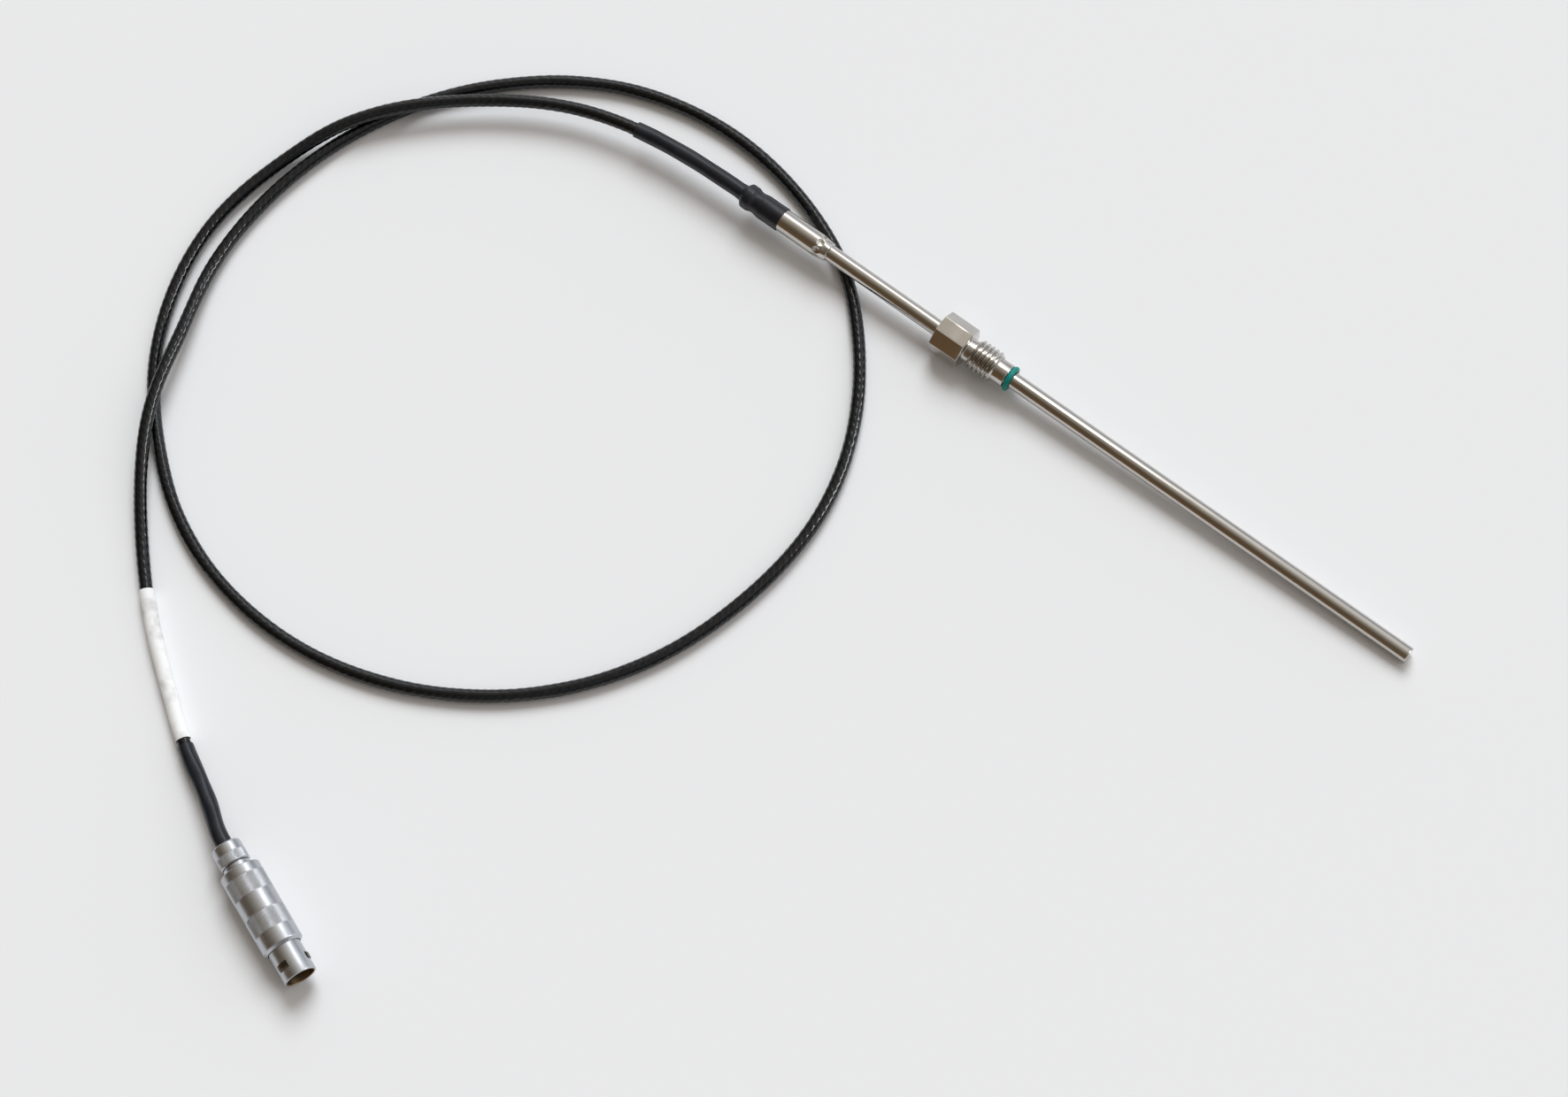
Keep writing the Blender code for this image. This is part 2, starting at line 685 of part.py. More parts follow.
def make_nut(plug):
    bore = CABLE_RADIUS + SHRINK_FIT + BOOT_CABLE_WALL + NUT_BORE_FIT
    bends = [math.pi / 2 * i / 4 for i in range(5)]
    rounding = [
        (NUT_ROUNDING * (1 - math.sin(a)), NUT_RADIUS - NUT_ROUNDING * (1 - math.cos(a))) for a in bends
    ]
    outline = rounding[::-1] + [
        (NUT_LENGTH, NUT_RADIUS),
        (NUT_LENGTH, NUT_THREAD_BORE),
        (NUT_REAR_WALL, NUT_THREAD_BORE),
        (NUT_REAR_WALL, bore),
        (0.0, bore),
    ]
    turned("collet_nut", outline, NICKEL, plug)


def make_collet(plug):
    start = NUT_REAR_WALL + SEAT
    flange_end = start + COLLET_FLANGE_LENGTH
    end = start + COLLET_LENGTH
    bore = CABLE_RADIUS + FIT
    outline = [
        (start, bore),
        (start, COLLET_FLANGE_RADIUS),
        (flange_end, COLLET_FLANGE_RADIUS),
        (flange_end, COLLET_RADIUS),
        (end, COLLET_RADIUS),
        (end, bore),
    ]
    collet = turned("collet", outline, NICKEL, plug)
    half = 0.5 * COLLET_SLOT_WIDTH / COLLET_RADIUS
    middles = [math.tau * i / COLLET_SLOTS for i in range(COLLET_SLOTS)]
    ranges = [(middle - half, middle + half) for middle in middles]
    slots = sectors_mesh(
        "collet_slots",
        end - COLLET_SLOT_LENGTH,
        end + CUTTER_MARGIN,
        bore - CUTTER_MARGIN,
        COLLET_RADIUS + CUTTER_MARGIN,
        ranges,
    )
    cut(collet, cutter("collet_slots", slots, plug))


def latch_middles():
    return [LATCH_TURN + math.tau * i / LATCHES for i in range(LATCHES)]


def make_shell(plug):
    thread_start = SHELL_STEP - NECK_LENGTH - REAR_THREAD_LENGTH
    neck_start = SHELL_STEP - NECK_LENGTH
    outline = [
        (thread_start, COLLET_RADIUS + FIT),
        (thread_start, NUT_THREAD_BORE - FIT),
        (neck_start, NUT_THREAD_BORE - FIT),
        (neck_start, NECK_RADIUS),
        (SHELL_STEP, NECK_RADIUS),
        (SHELL_STEP, SHELL_RADIUS),
        (SHELL_FRONT - SHELL_EDGE, SHELL_RADIUS),
        (SHELL_FRONT, SHELL_RADIUS - SHELL_EDGE),
        (SHELL_FRONT, SHELL_MOUTH_BORE),
        (LATCH_SEAT, SHELL_MOUTH_BORE),
        (LATCH_SEAT, INSERT_RADIUS + FIT),
        (INSERT_SEAT, INSERT_RADIUS + FIT),
        (INSERT_SEAT, SHELL_CABLE_BORE),
        (COLLET_SEAT_END, SHELL_CABLE_BORE),
        (COLLET_SEAT_END, COLLET_RADIUS + FIT),
    ]
    shell = turned("plug_shell", outline, NICKEL, plug)
    half = 0.5 * WINDOW_WIDTH / SHELL_RADIUS
    ranges = [(middle - half, middle + half) for middle in latch_middles()]
    windows = sectors_mesh(
        "latch_windows",
        WINDOW_START,
        WINDOW_START + WINDOW_LENGTH,
        SHELL_MOUTH_BORE - CUTTER_MARGIN,
        SHELL_RADIUS + CUTTER_MARGIN,
        ranges,
    )
    cut(shell, cutter("latch_windows", windows, plug))


def make_latch_sleeve(plug):
    """A ring with three springy fingers, whose tangs stand out through the shell's windows."""
    inner = INSERT_RADIUS + FIT
    outer = inner + LATCH_WALL
    tang = SHELL_RADIUS + TANG_PROUD
    tang_start = WINDOW_START + TANG_GAP
    tang_end = WINDOW_START + WINDOW_LENGTH - TANG_GAP
    outline = [
        (LATCH_SEAT + SEAT, inner),
        (LATCH_SEAT + SEAT, outer),
        (tang_start, outer),
        (tang_start, tang),
        (tang_end - TANG_SLOPE, tang),
        (tang_end, SHELL_RADIUS),
        (tang_end, outer),
        (FINGER_END, outer),
        (FINGER_END, inner),
    ]
    latch = turned("latch_sleeve", outline, NICKEL, plug)
    half = (0.5 * WINDOW_WIDTH - TANG_GAP) / SHELL_RADIUS
    step = math.tau / LATCHES
    ranges = [(middle + half, middle + step - half) for middle in latch_middles()]
    slots = sectors_mesh(
        "finger_slots",
        LATCH_RING_END,
        FINGER_END + CUTTER_MARGIN,
        inner - CUTTER_MARGIN,
        tang + CUTTER_MARGIN,
        ranges,
        FINGER_SLOT_STEPS,
    )
    cut(latch, cutter("finger_slots", slots, plug))


def make_release_sleeve(plug):
    """The outer sleeve, which slides back along the shell to let go of the latch."""
    bore = SHELL_RADIUS + SLIDE_FIT
    lip = NECK_RADIUS + SLIDE_FIT
    outline = [
        (RELEASE_START, lip),
        (RELEASE_START, RELEASE_RADIUS - RELEASE_EDGE),
        (RELEASE_START + RELEASE_EDGE, RELEASE_RADIUS),
        (RELEASE_END - RELEASE_FRONT_EDGE, RELEASE_RADIUS),
        (RELEASE_END, RELEASE_RADIUS - RELEASE_FRONT_EDGE),
        (RELEASE_END, bore),
        (RELEASE_START + RELEASE_LIP, bore),
        (RELEASE_START + RELEASE_LIP, lip),
    ]
    turned("release_sleeve", outline, NICKEL, plug)


def make_contacts(plug):
    start = INSERT_SEAT + SEAT
    insert = turned("contact_insert", rod_outline(start, INSERT_END, INSERT_RADIUS), INSULATOR, plug)
    turn = math.pi / WIRES
    spots = circle_spots(WIRES, PIN_CIRCLE, turn)
    core_spots = circle_spots(WIRES, WIRE_CIRCLE, turn)
    hole = PIN_RADIUS + FIT
    holes = holes_mesh("pin_holes", start - CUTTER_MARGIN, INSERT_END + CUTTER_MARGIN, hole, spots)
    cut(insert, cutter("pin_holes", holes, plug))
    pin = turned_mesh(
        "contact_pin",
        [
            (PIN_START, 0.0),
            (PIN_START, PIN_RADIUS),
            (PIN_END - PIN_TIP, PIN_RADIUS),
            (PIN_END, PIN_RADIUS - PIN_TIP),
            (PIN_END, 0.0),
        ],
        SMALL_SIDES,
    )
    pin.materials.append(material(GOLD))
    for number, (spot, core, look) in enumerate(zip(spots, core_spots, WIRE_COLOURS), 1):
        add(f"contact_pin_{number}", pin, None, plug, spot)
        first = (JACKET_END + SEAT, core[1], core[2])
        last = (PIN_START - SEAT, spot[1], spot[2])
        tube_curve(f"plug_conductor_{number}", [first, last], WIRE_RADIUS, 2, look, plug)


def main():
    clear_scene()
    probe = empty("probe_axis", (FRONT_X, 0.0, FRONT_Z), (0.0, PITCH, 0.0))
    plug = empty("plug_axis", PLUG_REAR, (0.0, 0.0, PLUG_HEADING))
    bpy.context.view_layer.update()

    make_sheath(probe)
    make_fitting(probe)
    make_o_ring(probe)
    make_transition_sleeve(probe)
    make_ferrule(probe)
    cores_end = make_wires(probe, make_element(probe))

    # The cable's line starts straight behind the sheath and ends straight in the plug.
    line_start = SHEATH_TAIL
    probe_stations = (line_start, -cores_end, SLEEVE_REAR, CABLE_STRAIGHT)
    plug_stations = (LINE_TURN, NUT_REAR_WALL, SHELL_STEP)
    on_probe = [probe.matrix_world @ Vector((-station, 0, 0)) for station in probe_stations]
    on_plug = [plug.matrix_world @ Vector((station, 0, 0)) for station in plug_stations]
    free = [Vector(point) * MM for point in ROUTE]
    route = smooth_line(on_probe + free + on_plug)
    plug_rear = route.length - SHELL_STEP
    points = cable_points(route, -cores_end - line_start + SEAT, plug_rear + JACKET_END)
    tube_curve("signal_cable", points, CABLE_RADIUS, CABLE_RINGS, JACKET)
    line = Line([route.at(0.0)] + points)
    make_probe_boot(line, line_start)
    make_cable_sleeves(line, line.length - JACKET_END + PLUG_BOOT_INSIDE)

    make_nut(plug)
    make_collet(plug)
    make_shell(plug)
    make_latch_sleeve(plug)
    make_release_sleeve(plug)
    make_contacts(plug)


main()
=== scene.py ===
"""Looks of the resistance temperature probe, its cable and its push-pull plug."""

import json
import math

import bmesh
import bpy
import numpy as np
from mathutils import Matrix, Vector


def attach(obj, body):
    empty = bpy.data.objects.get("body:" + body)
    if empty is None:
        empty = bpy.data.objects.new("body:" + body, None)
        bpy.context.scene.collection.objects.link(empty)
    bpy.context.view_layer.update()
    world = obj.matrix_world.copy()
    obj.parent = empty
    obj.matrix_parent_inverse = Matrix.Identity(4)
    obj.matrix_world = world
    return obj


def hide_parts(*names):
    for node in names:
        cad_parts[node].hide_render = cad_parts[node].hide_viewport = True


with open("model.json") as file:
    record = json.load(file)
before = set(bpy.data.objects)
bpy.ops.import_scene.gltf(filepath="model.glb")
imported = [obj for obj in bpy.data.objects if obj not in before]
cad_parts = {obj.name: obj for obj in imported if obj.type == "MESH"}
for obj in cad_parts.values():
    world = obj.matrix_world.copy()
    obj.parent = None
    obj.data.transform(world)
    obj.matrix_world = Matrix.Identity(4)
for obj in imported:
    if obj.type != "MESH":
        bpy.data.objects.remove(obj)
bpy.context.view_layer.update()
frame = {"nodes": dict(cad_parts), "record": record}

MM = 0.001
ROOT = "sensor"

# The photograph's frame and the camera that fits it
IMAGE_WIDTH = 1772
FOCAL_PX = 4540.0
SENSOR_WIDTH = 36.0
CLIP_START = 0.05
CLIP_END = 20.0
CAMERA_TARGET = Vector((-47.5, -79.5, 0.0)) * MM
CAMERA_DISTANCE = 1.1641
CAMERA_HEADING = math.radians(135.97)
CAMERA_ELEVATION = math.radians(71.0)
CAMERA_ROLL = math.radians(9.0)

# The light, fitted to the photograph's shadows and highlights. The sun gives shadows and shade,
# and metal and cable reflect the room and the panels.
SUN_STRENGTH = 2.36
SUN_COLOUR = (0.95, 1.0, 1.04)
SUN_WIDTH = math.radians(32.0)
SUN_DIRECTION = (-0.34, 0.61, 0.715)
# The room's colour by how far a direction leans to +Y
ROOM = [
    (-1.0, (0.21, 0.13, 0.065)),
    (-0.93, (0.165, 0.105, 0.055)),
    (-0.7, (0.13, 0.095, 0.06)),
    (-0.48, (0.17, 0.135, 0.095)),
    (-0.25, (0.27, 0.235, 0.19)),
    (0.0, (0.43, 0.39, 0.335)),
    (0.25, (0.65, 0.59, 0.51)),
    (0.5, (0.9, 0.88, 0.86)),
    (0.9, (0.87, 0.88, 0.91)),
    (0.97, (0.5, 0.51, 0.54)),
    (1.0, (0.2, 0.2, 0.22)),
]
SIDE_START = 0.55  # lean to either side from which the room is darker
SIDE_FULL = 0.95
SIDE_LEVEL = 0.4
FILL = (0.24, 0.26, 0.29)  # cool light from the side that the probe's tip points to
FILL_START = -0.05
FILL_FULL = 0.45
# Level glowing panels: centre, size, width of the faded edges, strength
PANELS = {
    "panel": ((-0.5, 0.62, 0.6), (1.05, 0.62), (0.3, 0.25), 2.3),
    "core": ((-0.13, 0.35, 0.59), (0.17, 0.25), (0.06, 0.06), 8.0),  # the panel's brightest part
    "window": ((0.78, 0.62, 0.6), (0.42, 0.8), (0.08, 0.15), 18.0),  # glints on the cable
}
FLOOR_COLOUR = (0.79, 0.79, 0.8, 1.0)
FLOOR_REACH = 3.0

# Rounding and closeness of outlines
SMALL_ROUND = 0.1 * MM
NO_ROUND = 0.0
AXIS_GAP = 0.02 * MM  # how near its axis a turned end face starts
TINY = 1e-9

# The sheath. Distances along the probe run from the block's front face towards the tip.
SHEATH_RADIUS = 2.5 * MM
SHEATH_WALL = 0.5 * MM
SHEATH_REACH = 156.0 * MM
SHEATH_TAIL = 56.0 * MM
SHEATH_SIDES = 96
TIP_WALL = 0.8 * MM
TIP_EDGE = 0.4 * MM
TIP_ROUND = 0.45 * MM
TIP_STEPS = 6

# The threaded fitting
BLOCK_HALF_WIDTH = 6.0 * MM
BLOCK_LENGTH = 10.0 * MM
BLOCK_EDGE = 0.35 * MM
BLOCK_ROUND = 0.3 * MM
BLOCK_CORNER = 0.06  # fillet of the octagon's corners, as a share of its half width
RELIEF_RADIUS = 3.7 * MM
RELIEF_END = 2.2 * MM
RELIEF_FILLET = 0.5 * MM
THREAD_ROOT = 4.08 * MM
THREAD_DEPTH = 0.92 * MM
THREAD_PITCH = 1.5 * MM
THREAD_END = 10.6 * MM
THREAD_RINGS = 90
ROOT_FLAT = 0.25  # shares of the pitch
CREST_FLAT = 0.125
THREAD_SOFTENING = 0.12
NOSE_END = 14.6 * MM
NOSE_ROUND = 0.3 * MM
FITTING_BORE = 2.65 * MM

# The O-ring on the sheath
RING_SECTION = 0.75 * MM
RING_MIDDLE = 3.31 * MM
RING_AT = 15.55 * MM
RING_TILT = math.radians(1.5)
RING_SIDES = 72
RING_SECTION_SIDES = 24

# The transition sleeve. Its ends are measured back from the block's front face.
SLEEVE_RADIUS = 3.5 * MM
SLEEVE_FRONT = 50.6 * MM
SLEEVE_REAR = 75.6 * MM
SLEEVE_SIDES = 160
SLEEVE_BORE = 3.0 * MM
SLEEVE_FRONT_BORE = 2.6 * MM
BORE_STEP = (5.8 * MM, 6.2 * MM)  # behind the sleeve's front end
CRIMP_RADIUS = 3.0 * MM
CRIMP_LENGTH = 4.8 * MM
CRIMP_LIP = 0.4 * MM
CRIMP_ZONE = 5.2 * MM
CRIMP_RINGS = 56
SCALLOP_DEPTH = 0.07 * MM
SCALLOP_LENGTH = 2.4 * MM
DIMPLES = 8
DIMPLE_DEPTH = 0.42 * MM
DIMPLE_RADIUS = 1.25 * MM
DIMPLE_AT = 3.4 * MM  # behind the sleeve's front end

# Where the probe and the plug lie, as the construction has them
PITCH = math.atan2(BLOCK_HALF_WIDTH - SHEATH_RADIUS, SHEATH_REACH - TIP_EDGE + BLOCK_EDGE)
FRONT = Vector(
    (
        -0.5 * (SHEATH_REACH - SLEEVE_REAR) * math.cos(PITCH),
        0.0,
        BLOCK_HALF_WIDTH * math.cos(PITCH) - BLOCK_EDGE * math.sin(PITCH),
    )
)
PLUG_REAR = Vector((-119.3, -245.8, 6.15)) * MM
PLUG_HEADING = math.radians(-21.34)
PROBE = Matrix.Translation(FRONT) @ Matrix.Rotation(PITCH, 4, "Y")
PLUG = Matrix.Translation(PLUG_REAR) @ Matrix.Rotation(PLUG_HEADING, 4, "Z")

# The cable. Its wires turn round it and show through the jacket.
CABLE_RADIUS = 2.0 * MM
CABLE_START = 71.0 * MM  # behind the block's front face
CABLE_END = 7.0 * MM  # ahead of the plug's rear end
CABLE_ROW = 0.5 * MM
CABLE_SIDES = 36
JACKET_INSET = 0.08 * MM
WIRE_STARTS = 5
WIRE_LAY = 12.5  # millimetres for a full turn
WIRE_HEIGHT = 0.05 * MM
WIRE_WANDER = [(0.9, 4.1, 0.0), (0.7, 6.7, 1.3), (0.5, 2.3, 0.4)]  # height, length and start of waves
OVAL_HEIGHT = 0.03 * MM
OVAL_LAY = 31.0
OVAL_WANDER = 1.4
OVAL_WANDER_LENGTH = 23.0
PATH_STEP = 4.0 * MM

# Tubing shrunk on the cable
SHRINK_FIT = 0.08 * MM
SHRINK_SIDES = 48
SHRINK_STEP = 0.5 * MM
SHRINK_END_INSET = 0.05 * MM
SHRINK_BLUR = (1.0, 2.0, 3.0, 2.0, 1.0)
LUMP_LAY = 13.0
LUMP_LENGTH = 2.7
LUMP_SHARE = 0.6
BOOT_WALL = 0.25 * MM
BOOT_STEP = 0.25 * MM
BOOT_LUMP = 0.025 * MM
# Over the sleeve's end, in at a waist, out over the ferrule and down to the cable: the distance
# behind the block's front face and the radius, in millimetres
BOOT_OUTLINE = [
    (68.2, 3.83),
    (75.3, 3.83),
    (76.3, 3.6),
    (77.3, 3.42),
    (78.3, 3.5),
    (79.0, 3.88),
    (79.5, 3.95),
    (81.4, 3.95),
    (81.9, 3.85),
    (82.2, 2.9),
    (82.8, 2.6),
    (84.5, 2.47),
    (121.5, 2.46),
]
PLUG_BOOT_RADIUS = 2.46 * MM
PLUG_BOOT_LENGTH = 36.0 * MM
PLUG_BOOT_INSIDE = 2.4 * MM
PLUG_BOOT_LUMP = 0.07 * MM
MARKER_RADIUS = 2.28 * MM
MARKER_LENGTH = 47.5 * MM
MARKER_GAP = 1.9 * MM
MARKER_LUMP = 0.015 * MM

# The plug. Distances along it run from its rear end.
KNURL_DEPTH = 0.06 * MM
KNURL_MARGIN = 0.06 * MM
NUT_RADIUS = 4.525 * MM
NUT_LENGTH = 6.6 * MM
NUT_ROUND = 0.9 * MM
NUT_ROUND_STEPS = 6
NUT_KNURL_START = 3.3 * MM
NUT_KNURL_REST = 0.25 * MM  # plain length ahead of the knurl
NUT_KNURL_TEETH = 76
NUT_CHAMFER = 0.3 * MM
NUT_BORE = 2.76 * MM
NUT_WIDE_BORE = 3.6 * MM
NUT_BORE_STEP = 2.7 * MM
RELEASE_RADIUS = 6.15 * MM
RELEASE_START = 8.6 * MM
RELEASE_END = 34.9 * MM
RELEASE_REAR_ROUND = 0.5 * MM
RELEASE_TAPER_START = 34.1 * MM
RELEASE_TAPER = 0.85 * MM
RELEASE_TAPER_ROUND = 0.3 * MM
RELEASE_BORE = 5.075 * MM
RELEASE_LIP = 4.35 * MM
RELEASE_LIP_LENGTH = 1.0 * MM
RELEASE_KNURLS = ((11.46 * MM, 17.66 * MM), (23.34 * MM, 29.57 * MM))
RELEASE_KNURL_TEETH = 96
SHELL_REAR = 4.3 * MM
SHELL_TAIL_RADIUS = 3.45 * MM
SHELL_TAIL_END = 6.9 * MM
SHELL_COLLAR_RADIUS = 4.2 * MM
SHELL_COLLAR_END = 9.9 * MM
SHELL_RADIUS = 4.925 * MM
SHELL_FRONT = 44.5 * MM
SHELL_FRONT_ROUND = 0.3 * MM
MOUTH_RADIUS = 4.225 * MM
MOUTH_ROUND = 0.12 * MM
MOUTH_END = 24.0 * MM
INSERT_BORE = 3.75 * MM
INSERT_SEAT = 12.0 * MM
SHELL_CABLE_BORE = 2.4 * MM
COLLET_SEAT_END = 9.5 * MM
COLLET_BORE = 2.9 * MM
LATCHES = 3
LATCH_TURN = math.radians(-35.5)  # first window, from straight up towards the plug's own +Y
LATCH_START = 39.2 * MM
LATCH_END = 41.45 * MM
LATCH_WIDTH = 3.7 * MM
LATCH_FACES = 12
LATCH_REST_FACES = 23

# Points that the cable's centre line passes through, in millimetres, as the construction has
# them, and where it runs straight in the probe and in the plug
ROUTE = [
    (-181.5, -8.0, 6.9),
    (-205.5, -22.0, 6.5),
    (-217.0, -31.5, 6.5),
    (-235.5, -54.0, 5.5),
    (-242.0, -69.0, 3.4),
    (-247.5, -100.0, 2.1),
    (-242.0, -126.5, 2.05),
    (-231.0, -147.0, 2.05),
    (-217.5, -161.5, 2.05),
    (-197.5, -176.5, 2.05),
    (-165.5, -187.0, 2.05),
    (-133.0, -186.0, 2.05),
    (-100.5, -174.0, 2.05),
    (-75.0, -154.5, 2.05),
    (-56.5, -128.5, 2.05),
    (-46.5, -98.0, 2.05),
    (-45.0, -65.0, 2.05),
    (-55.0, -35.0, 2.05),
    (-73.5, -10.5, 2.05),
    (-86.0, 0.0, 2.05),
    (-98.5, 6.5, 2.05),
    (-122.5, 13.5, 2.05),
    (-147.0, 14.5, 2.05),
    (-176.5, 7.0, 2.05),
    (-201.0, -9.0, 2.05),
    (-220.5, -31.0, 2.05),
    (-233.5, -57.0, 2.05),
    (-239.5, -86.0, 2.05),
    (-238.0, -112.5, 2.8),
    (-231.0, -134.0, 5.4),
    (-224.0, -154.5, 6.5),
    (-217.0, -167.5, 5.3),
    (-199.5, -189.5, 2.5),
    (-182.0, -206.0, 2.35),
    (-161.0, -221.5, 2.35),
    (-149.0, -229.5, 2.9),
    (-130.5, -239.5, 5.0),
]
PROBE_STATIONS = (56.0, 70.7, 75.6, 84.2)
PLUG_STATIONS = (-2.0, 2.7, 9.9)
ROUTE_STEPS = 40
HEADING_REACH = 1.5 * MM

# Colours and grains of the finishes
STEEL = (0.55, 0.53, 0.5)
NICKEL = (0.52, 0.54, 0.57)
# Painted shade: a dark brown metal for the latch tangs, standing for the shade inside the shell's windows
LATCH_PAINTED_SHADE = (0.12, 0.095, 0.075)
# Painted reflection and shade: the brown of the plug mouth's inner wall stands for the brown it reflects and
# the shade inside, painted within this radius
PAINTED_BORE_REFLECTION = (0.3, 0.215, 0.13, 1.0)
PAINTED_BORE_RADIUS = 4.5 * MM
ACROSS = (2500.0, 120.0, 120.0)  # lines that run round a turned piece
ALONG = (60.0, 2500.0, 2500.0)  # lines that run along a drawn one
# Darker and lighter colours of a mottle
TEAL = ((0.0, 0.17, 0.142, 1.0), (0.0, 0.25, 0.21, 1.0))
JACKET = ((0.0006, 0.0012, 0.002, 1.0), (0.002, 0.0034, 0.005, 1.0))
SHRINK = ((0.0035, 0.005, 0.009, 1.0), (0.008, 0.0105, 0.0165, 1.0))
MARKER = ((0.62, 0.61, 0.6, 1.0), (0.82, 0.82, 0.815, 1.0))
TUBE_PLACE = "tube_place"
# Painted shade: the latch's tangs, seen through the shell's windows, are coloured dark to stand for the shade
# in the windows
FINISHES = {"latch_sleeve": "latch_painted_shade"}


class Line:
    """A line of straight runs between points, read by the distance along it."""

    def __init__(self, points):
        self.points = np.array([tuple(point) for point in points])
        steps = np.linalg.norm(np.diff(self.points, axis=0), axis=1)
        self.distances = np.concatenate([[0.0], np.cumsum(steps)])
        self.length = float(self.distances[-1])

    def at(self, distances):
        """The points at distances along the line, as an array with a row for each."""
        return np.stack([np.interp(distances, self.distances, column) for column in self.points.T], axis=1)


def smooth_line(points, steps=ROUTE_STEPS):
    """Close points on the curve through the given points whose bending is continuous."""
    places = np.array([tuple(point) for point in points])
    count = len(places)
    chords = np.linalg.norm(np.diff(places, axis=0), axis=1)
    system = np.eye(count)
    right = np.zeros_like(places)
    for i in range(1, count - 1):
        system[i, i - 1 : i + 2] = (chords[i - 1], 2 * (chords[i - 1] + chords[i]), chords[i])
        after = (places[i + 1] - places[i]) / chords[i]
        before = (places[i] - places[i - 1]) / chords[i - 1]
        right[i] = 6 * (after - before)
    bends = np.linalg.solve(system, right)
    fine = []
    for i, chord in enumerate(chords):
        for u in np.linspace(0, chord, steps, endpoint=False):
            v = chord - u
            curve = (bends[i] * v**3 + bends[i + 1] * u**3) / (6 * chord)
            start = (places[i] / chord - bends[i] * chord / 6) * v
            end = (places[i + 1] / chord - bends[i + 1] * chord / 6) * u
            fine.append(curve + start + end)
    fine.append(places[-1])
    return Line(fine)


def make_route():
    on_probe = [PROBE @ Vector((-station * MM, 0, 0)) for station in PROBE_STATIONS]
    on_plug = [PLUG @ Vector((station * MM, 0, 0)) for station in PLUG_STATIONS]
    return smooth_line(on_probe + [Vector(point) * MM for point in ROUTE] + on_plug)


ROUTE_LINE = make_route()
ROUTE_START = PROBE_STATIONS[0] * MM  # behind the block's front face
ROUTE_PLUG_REAR = ROUTE_LINE.length - PLUG_STATIONS[-1] * MM  # distance along the route


# The finishes


class Nodes:
    """Builds a node tree with short calls."""

    def __init__(self, tree):
        self.tree = tree

    def add(self, kind, **settings):
        node = self.tree.nodes.new(kind)
        for key, value in settings.items():
            setattr(node, key, value)
        return node

    def put(self, socket, value):
        """Links a socket to another one, or sets its value."""
        if isinstance(value, bpy.types.NodeSocket):
            self.tree.links.new(value, socket)
        else:
            socket.default_value = value

    def math(self, operation, a, b=0.0):
        node = self.add("ShaderNodeMath", operation=operation)
        self.put(node.inputs[0], a)
        self.put(node.inputs[1], b)
        return node.outputs[0]

    def split(self, vector):
        node = self.add("ShaderNodeSeparateXYZ")
        self.put(node.inputs["Vector"], vector)
        return node.outputs["X"], node.outputs["Y"], node.outputs["Z"]

    def object_coordinates(self, scale=(1.0, 1.0, 1.0)):
        mapping = self.add("ShaderNodeMapping")
        mapping.inputs["Scale"].default_value = scale
        self.put(mapping.inputs["Vector"], self.add("ShaderNodeTexCoord").outputs["Object"])
        return mapping.outputs["Vector"]

    def noise(self, scale, detail=3.0, roughness=0.5, vector=None):
        node = self.add("ShaderNodeTexNoise")
        self.put(node.inputs["Vector"], vector or self.object_coordinates())
        self.put(node.inputs["Scale"], scale)
        self.put(node.inputs["Detail"], detail)
        self.put(node.inputs["Roughness"], roughness)
        return node.outputs["Fac"]

    def spread(self, value, low=0.0, high=1.0, from_low=0.3, from_high=0.7, ease="LINEAR"):
        """Carries a range of values over to another range."""
        node = self.add("ShaderNodeMapRange", interpolation_type=ease)
        self.put(node.inputs["Value"], value)
        self.put(node.inputs["From Min"], from_low)
        self.put(node.inputs["From Max"], from_high)
        self.put(node.inputs["To Min"], low)
        self.put(node.inputs["To Max"], high)
        return node.outputs["Result"]

    def blend(self, factor, first, second, kind="MIX"):
        node = self.add("ShaderNodeMix", data_type="RGBA", blend_type=kind)
        self.put(node.inputs["Factor"], factor)
        self.put(node.inputs["A"], first)
        self.put(node.inputs["B"], second)
        return node.outputs["Result"]


class Finish(Nodes):
    """One material and its nodes."""

    def __init__(self, name):
        self.material = bpy.data.materials.new(name)
        self.material.use_nodes = True
        super().__init__(self.material.node_tree)
        self.shader = self.tree.nodes["Principled BSDF"]

    def shape(self, **inputs):
        """Sets the Principled shader's own sockets."""
        for name, value in inputs.items():
            self.put(self.shader.inputs[name.replace("_", " ")], value)

    def bump(self, height, distance):
        node = self.add("ShaderNodeBump")
        self.put(node.inputs["Strength"], 1.0)
        self.put(node.inputs["Distance"], distance)
        self.put(node.inputs["Height"], height)
        self.put(self.shader.inputs["Normal"], node.outputs["Normal"])


def shades(colour, share):
    """A darker share of a colour, and the colour, both with full alpha."""
    return (*(share * channel for channel in colour), 1.0), (*colour, 1.0)


def metal(name, colour, low, high, grain, depth, bore=None):
    """Metal with fine lines. The grain's scales are for the piece's length and its two widths.
    A bore is a distance along local X and a radius, past and inside which a painted brown reflection and
    shade colour the metal."""
    finish = Finish(name)
    lines = finish.noise(1.0, detail=4.0, roughness=0.6, vector=finish.object_coordinates(grain))
    patches = finish.noise(220.0, detail=2.0)
    shade = finish.spread(patches, from_low=0.35, from_high=0.65)
    shown = finish.blend(shade, *shades(colour, 0.94))
    if bore:
        start, radius = bore
        along, *across = finish.split(finish.object_coordinates())
        squares = [finish.math("POWER", distance, 2.0) for distance in across]
        away = finish.math("SQRT", finish.math("ADD", *squares))
        inside = finish.math("LESS_THAN", away, radius)
        past = finish.math("GREATER_THAN", along, start)
        # painted reflection and shade: the mouth's inner wall is coloured brown
        shown = finish.blend(finish.math("MULTIPLY", inside, past), shown, PAINTED_BORE_REFLECTION)
    finish.shape(Base_Color=shown, Metallic=1.0, Roughness=finish.spread(lines, low, high))
    finish.bump(lines, depth * MM)
    return finish.material


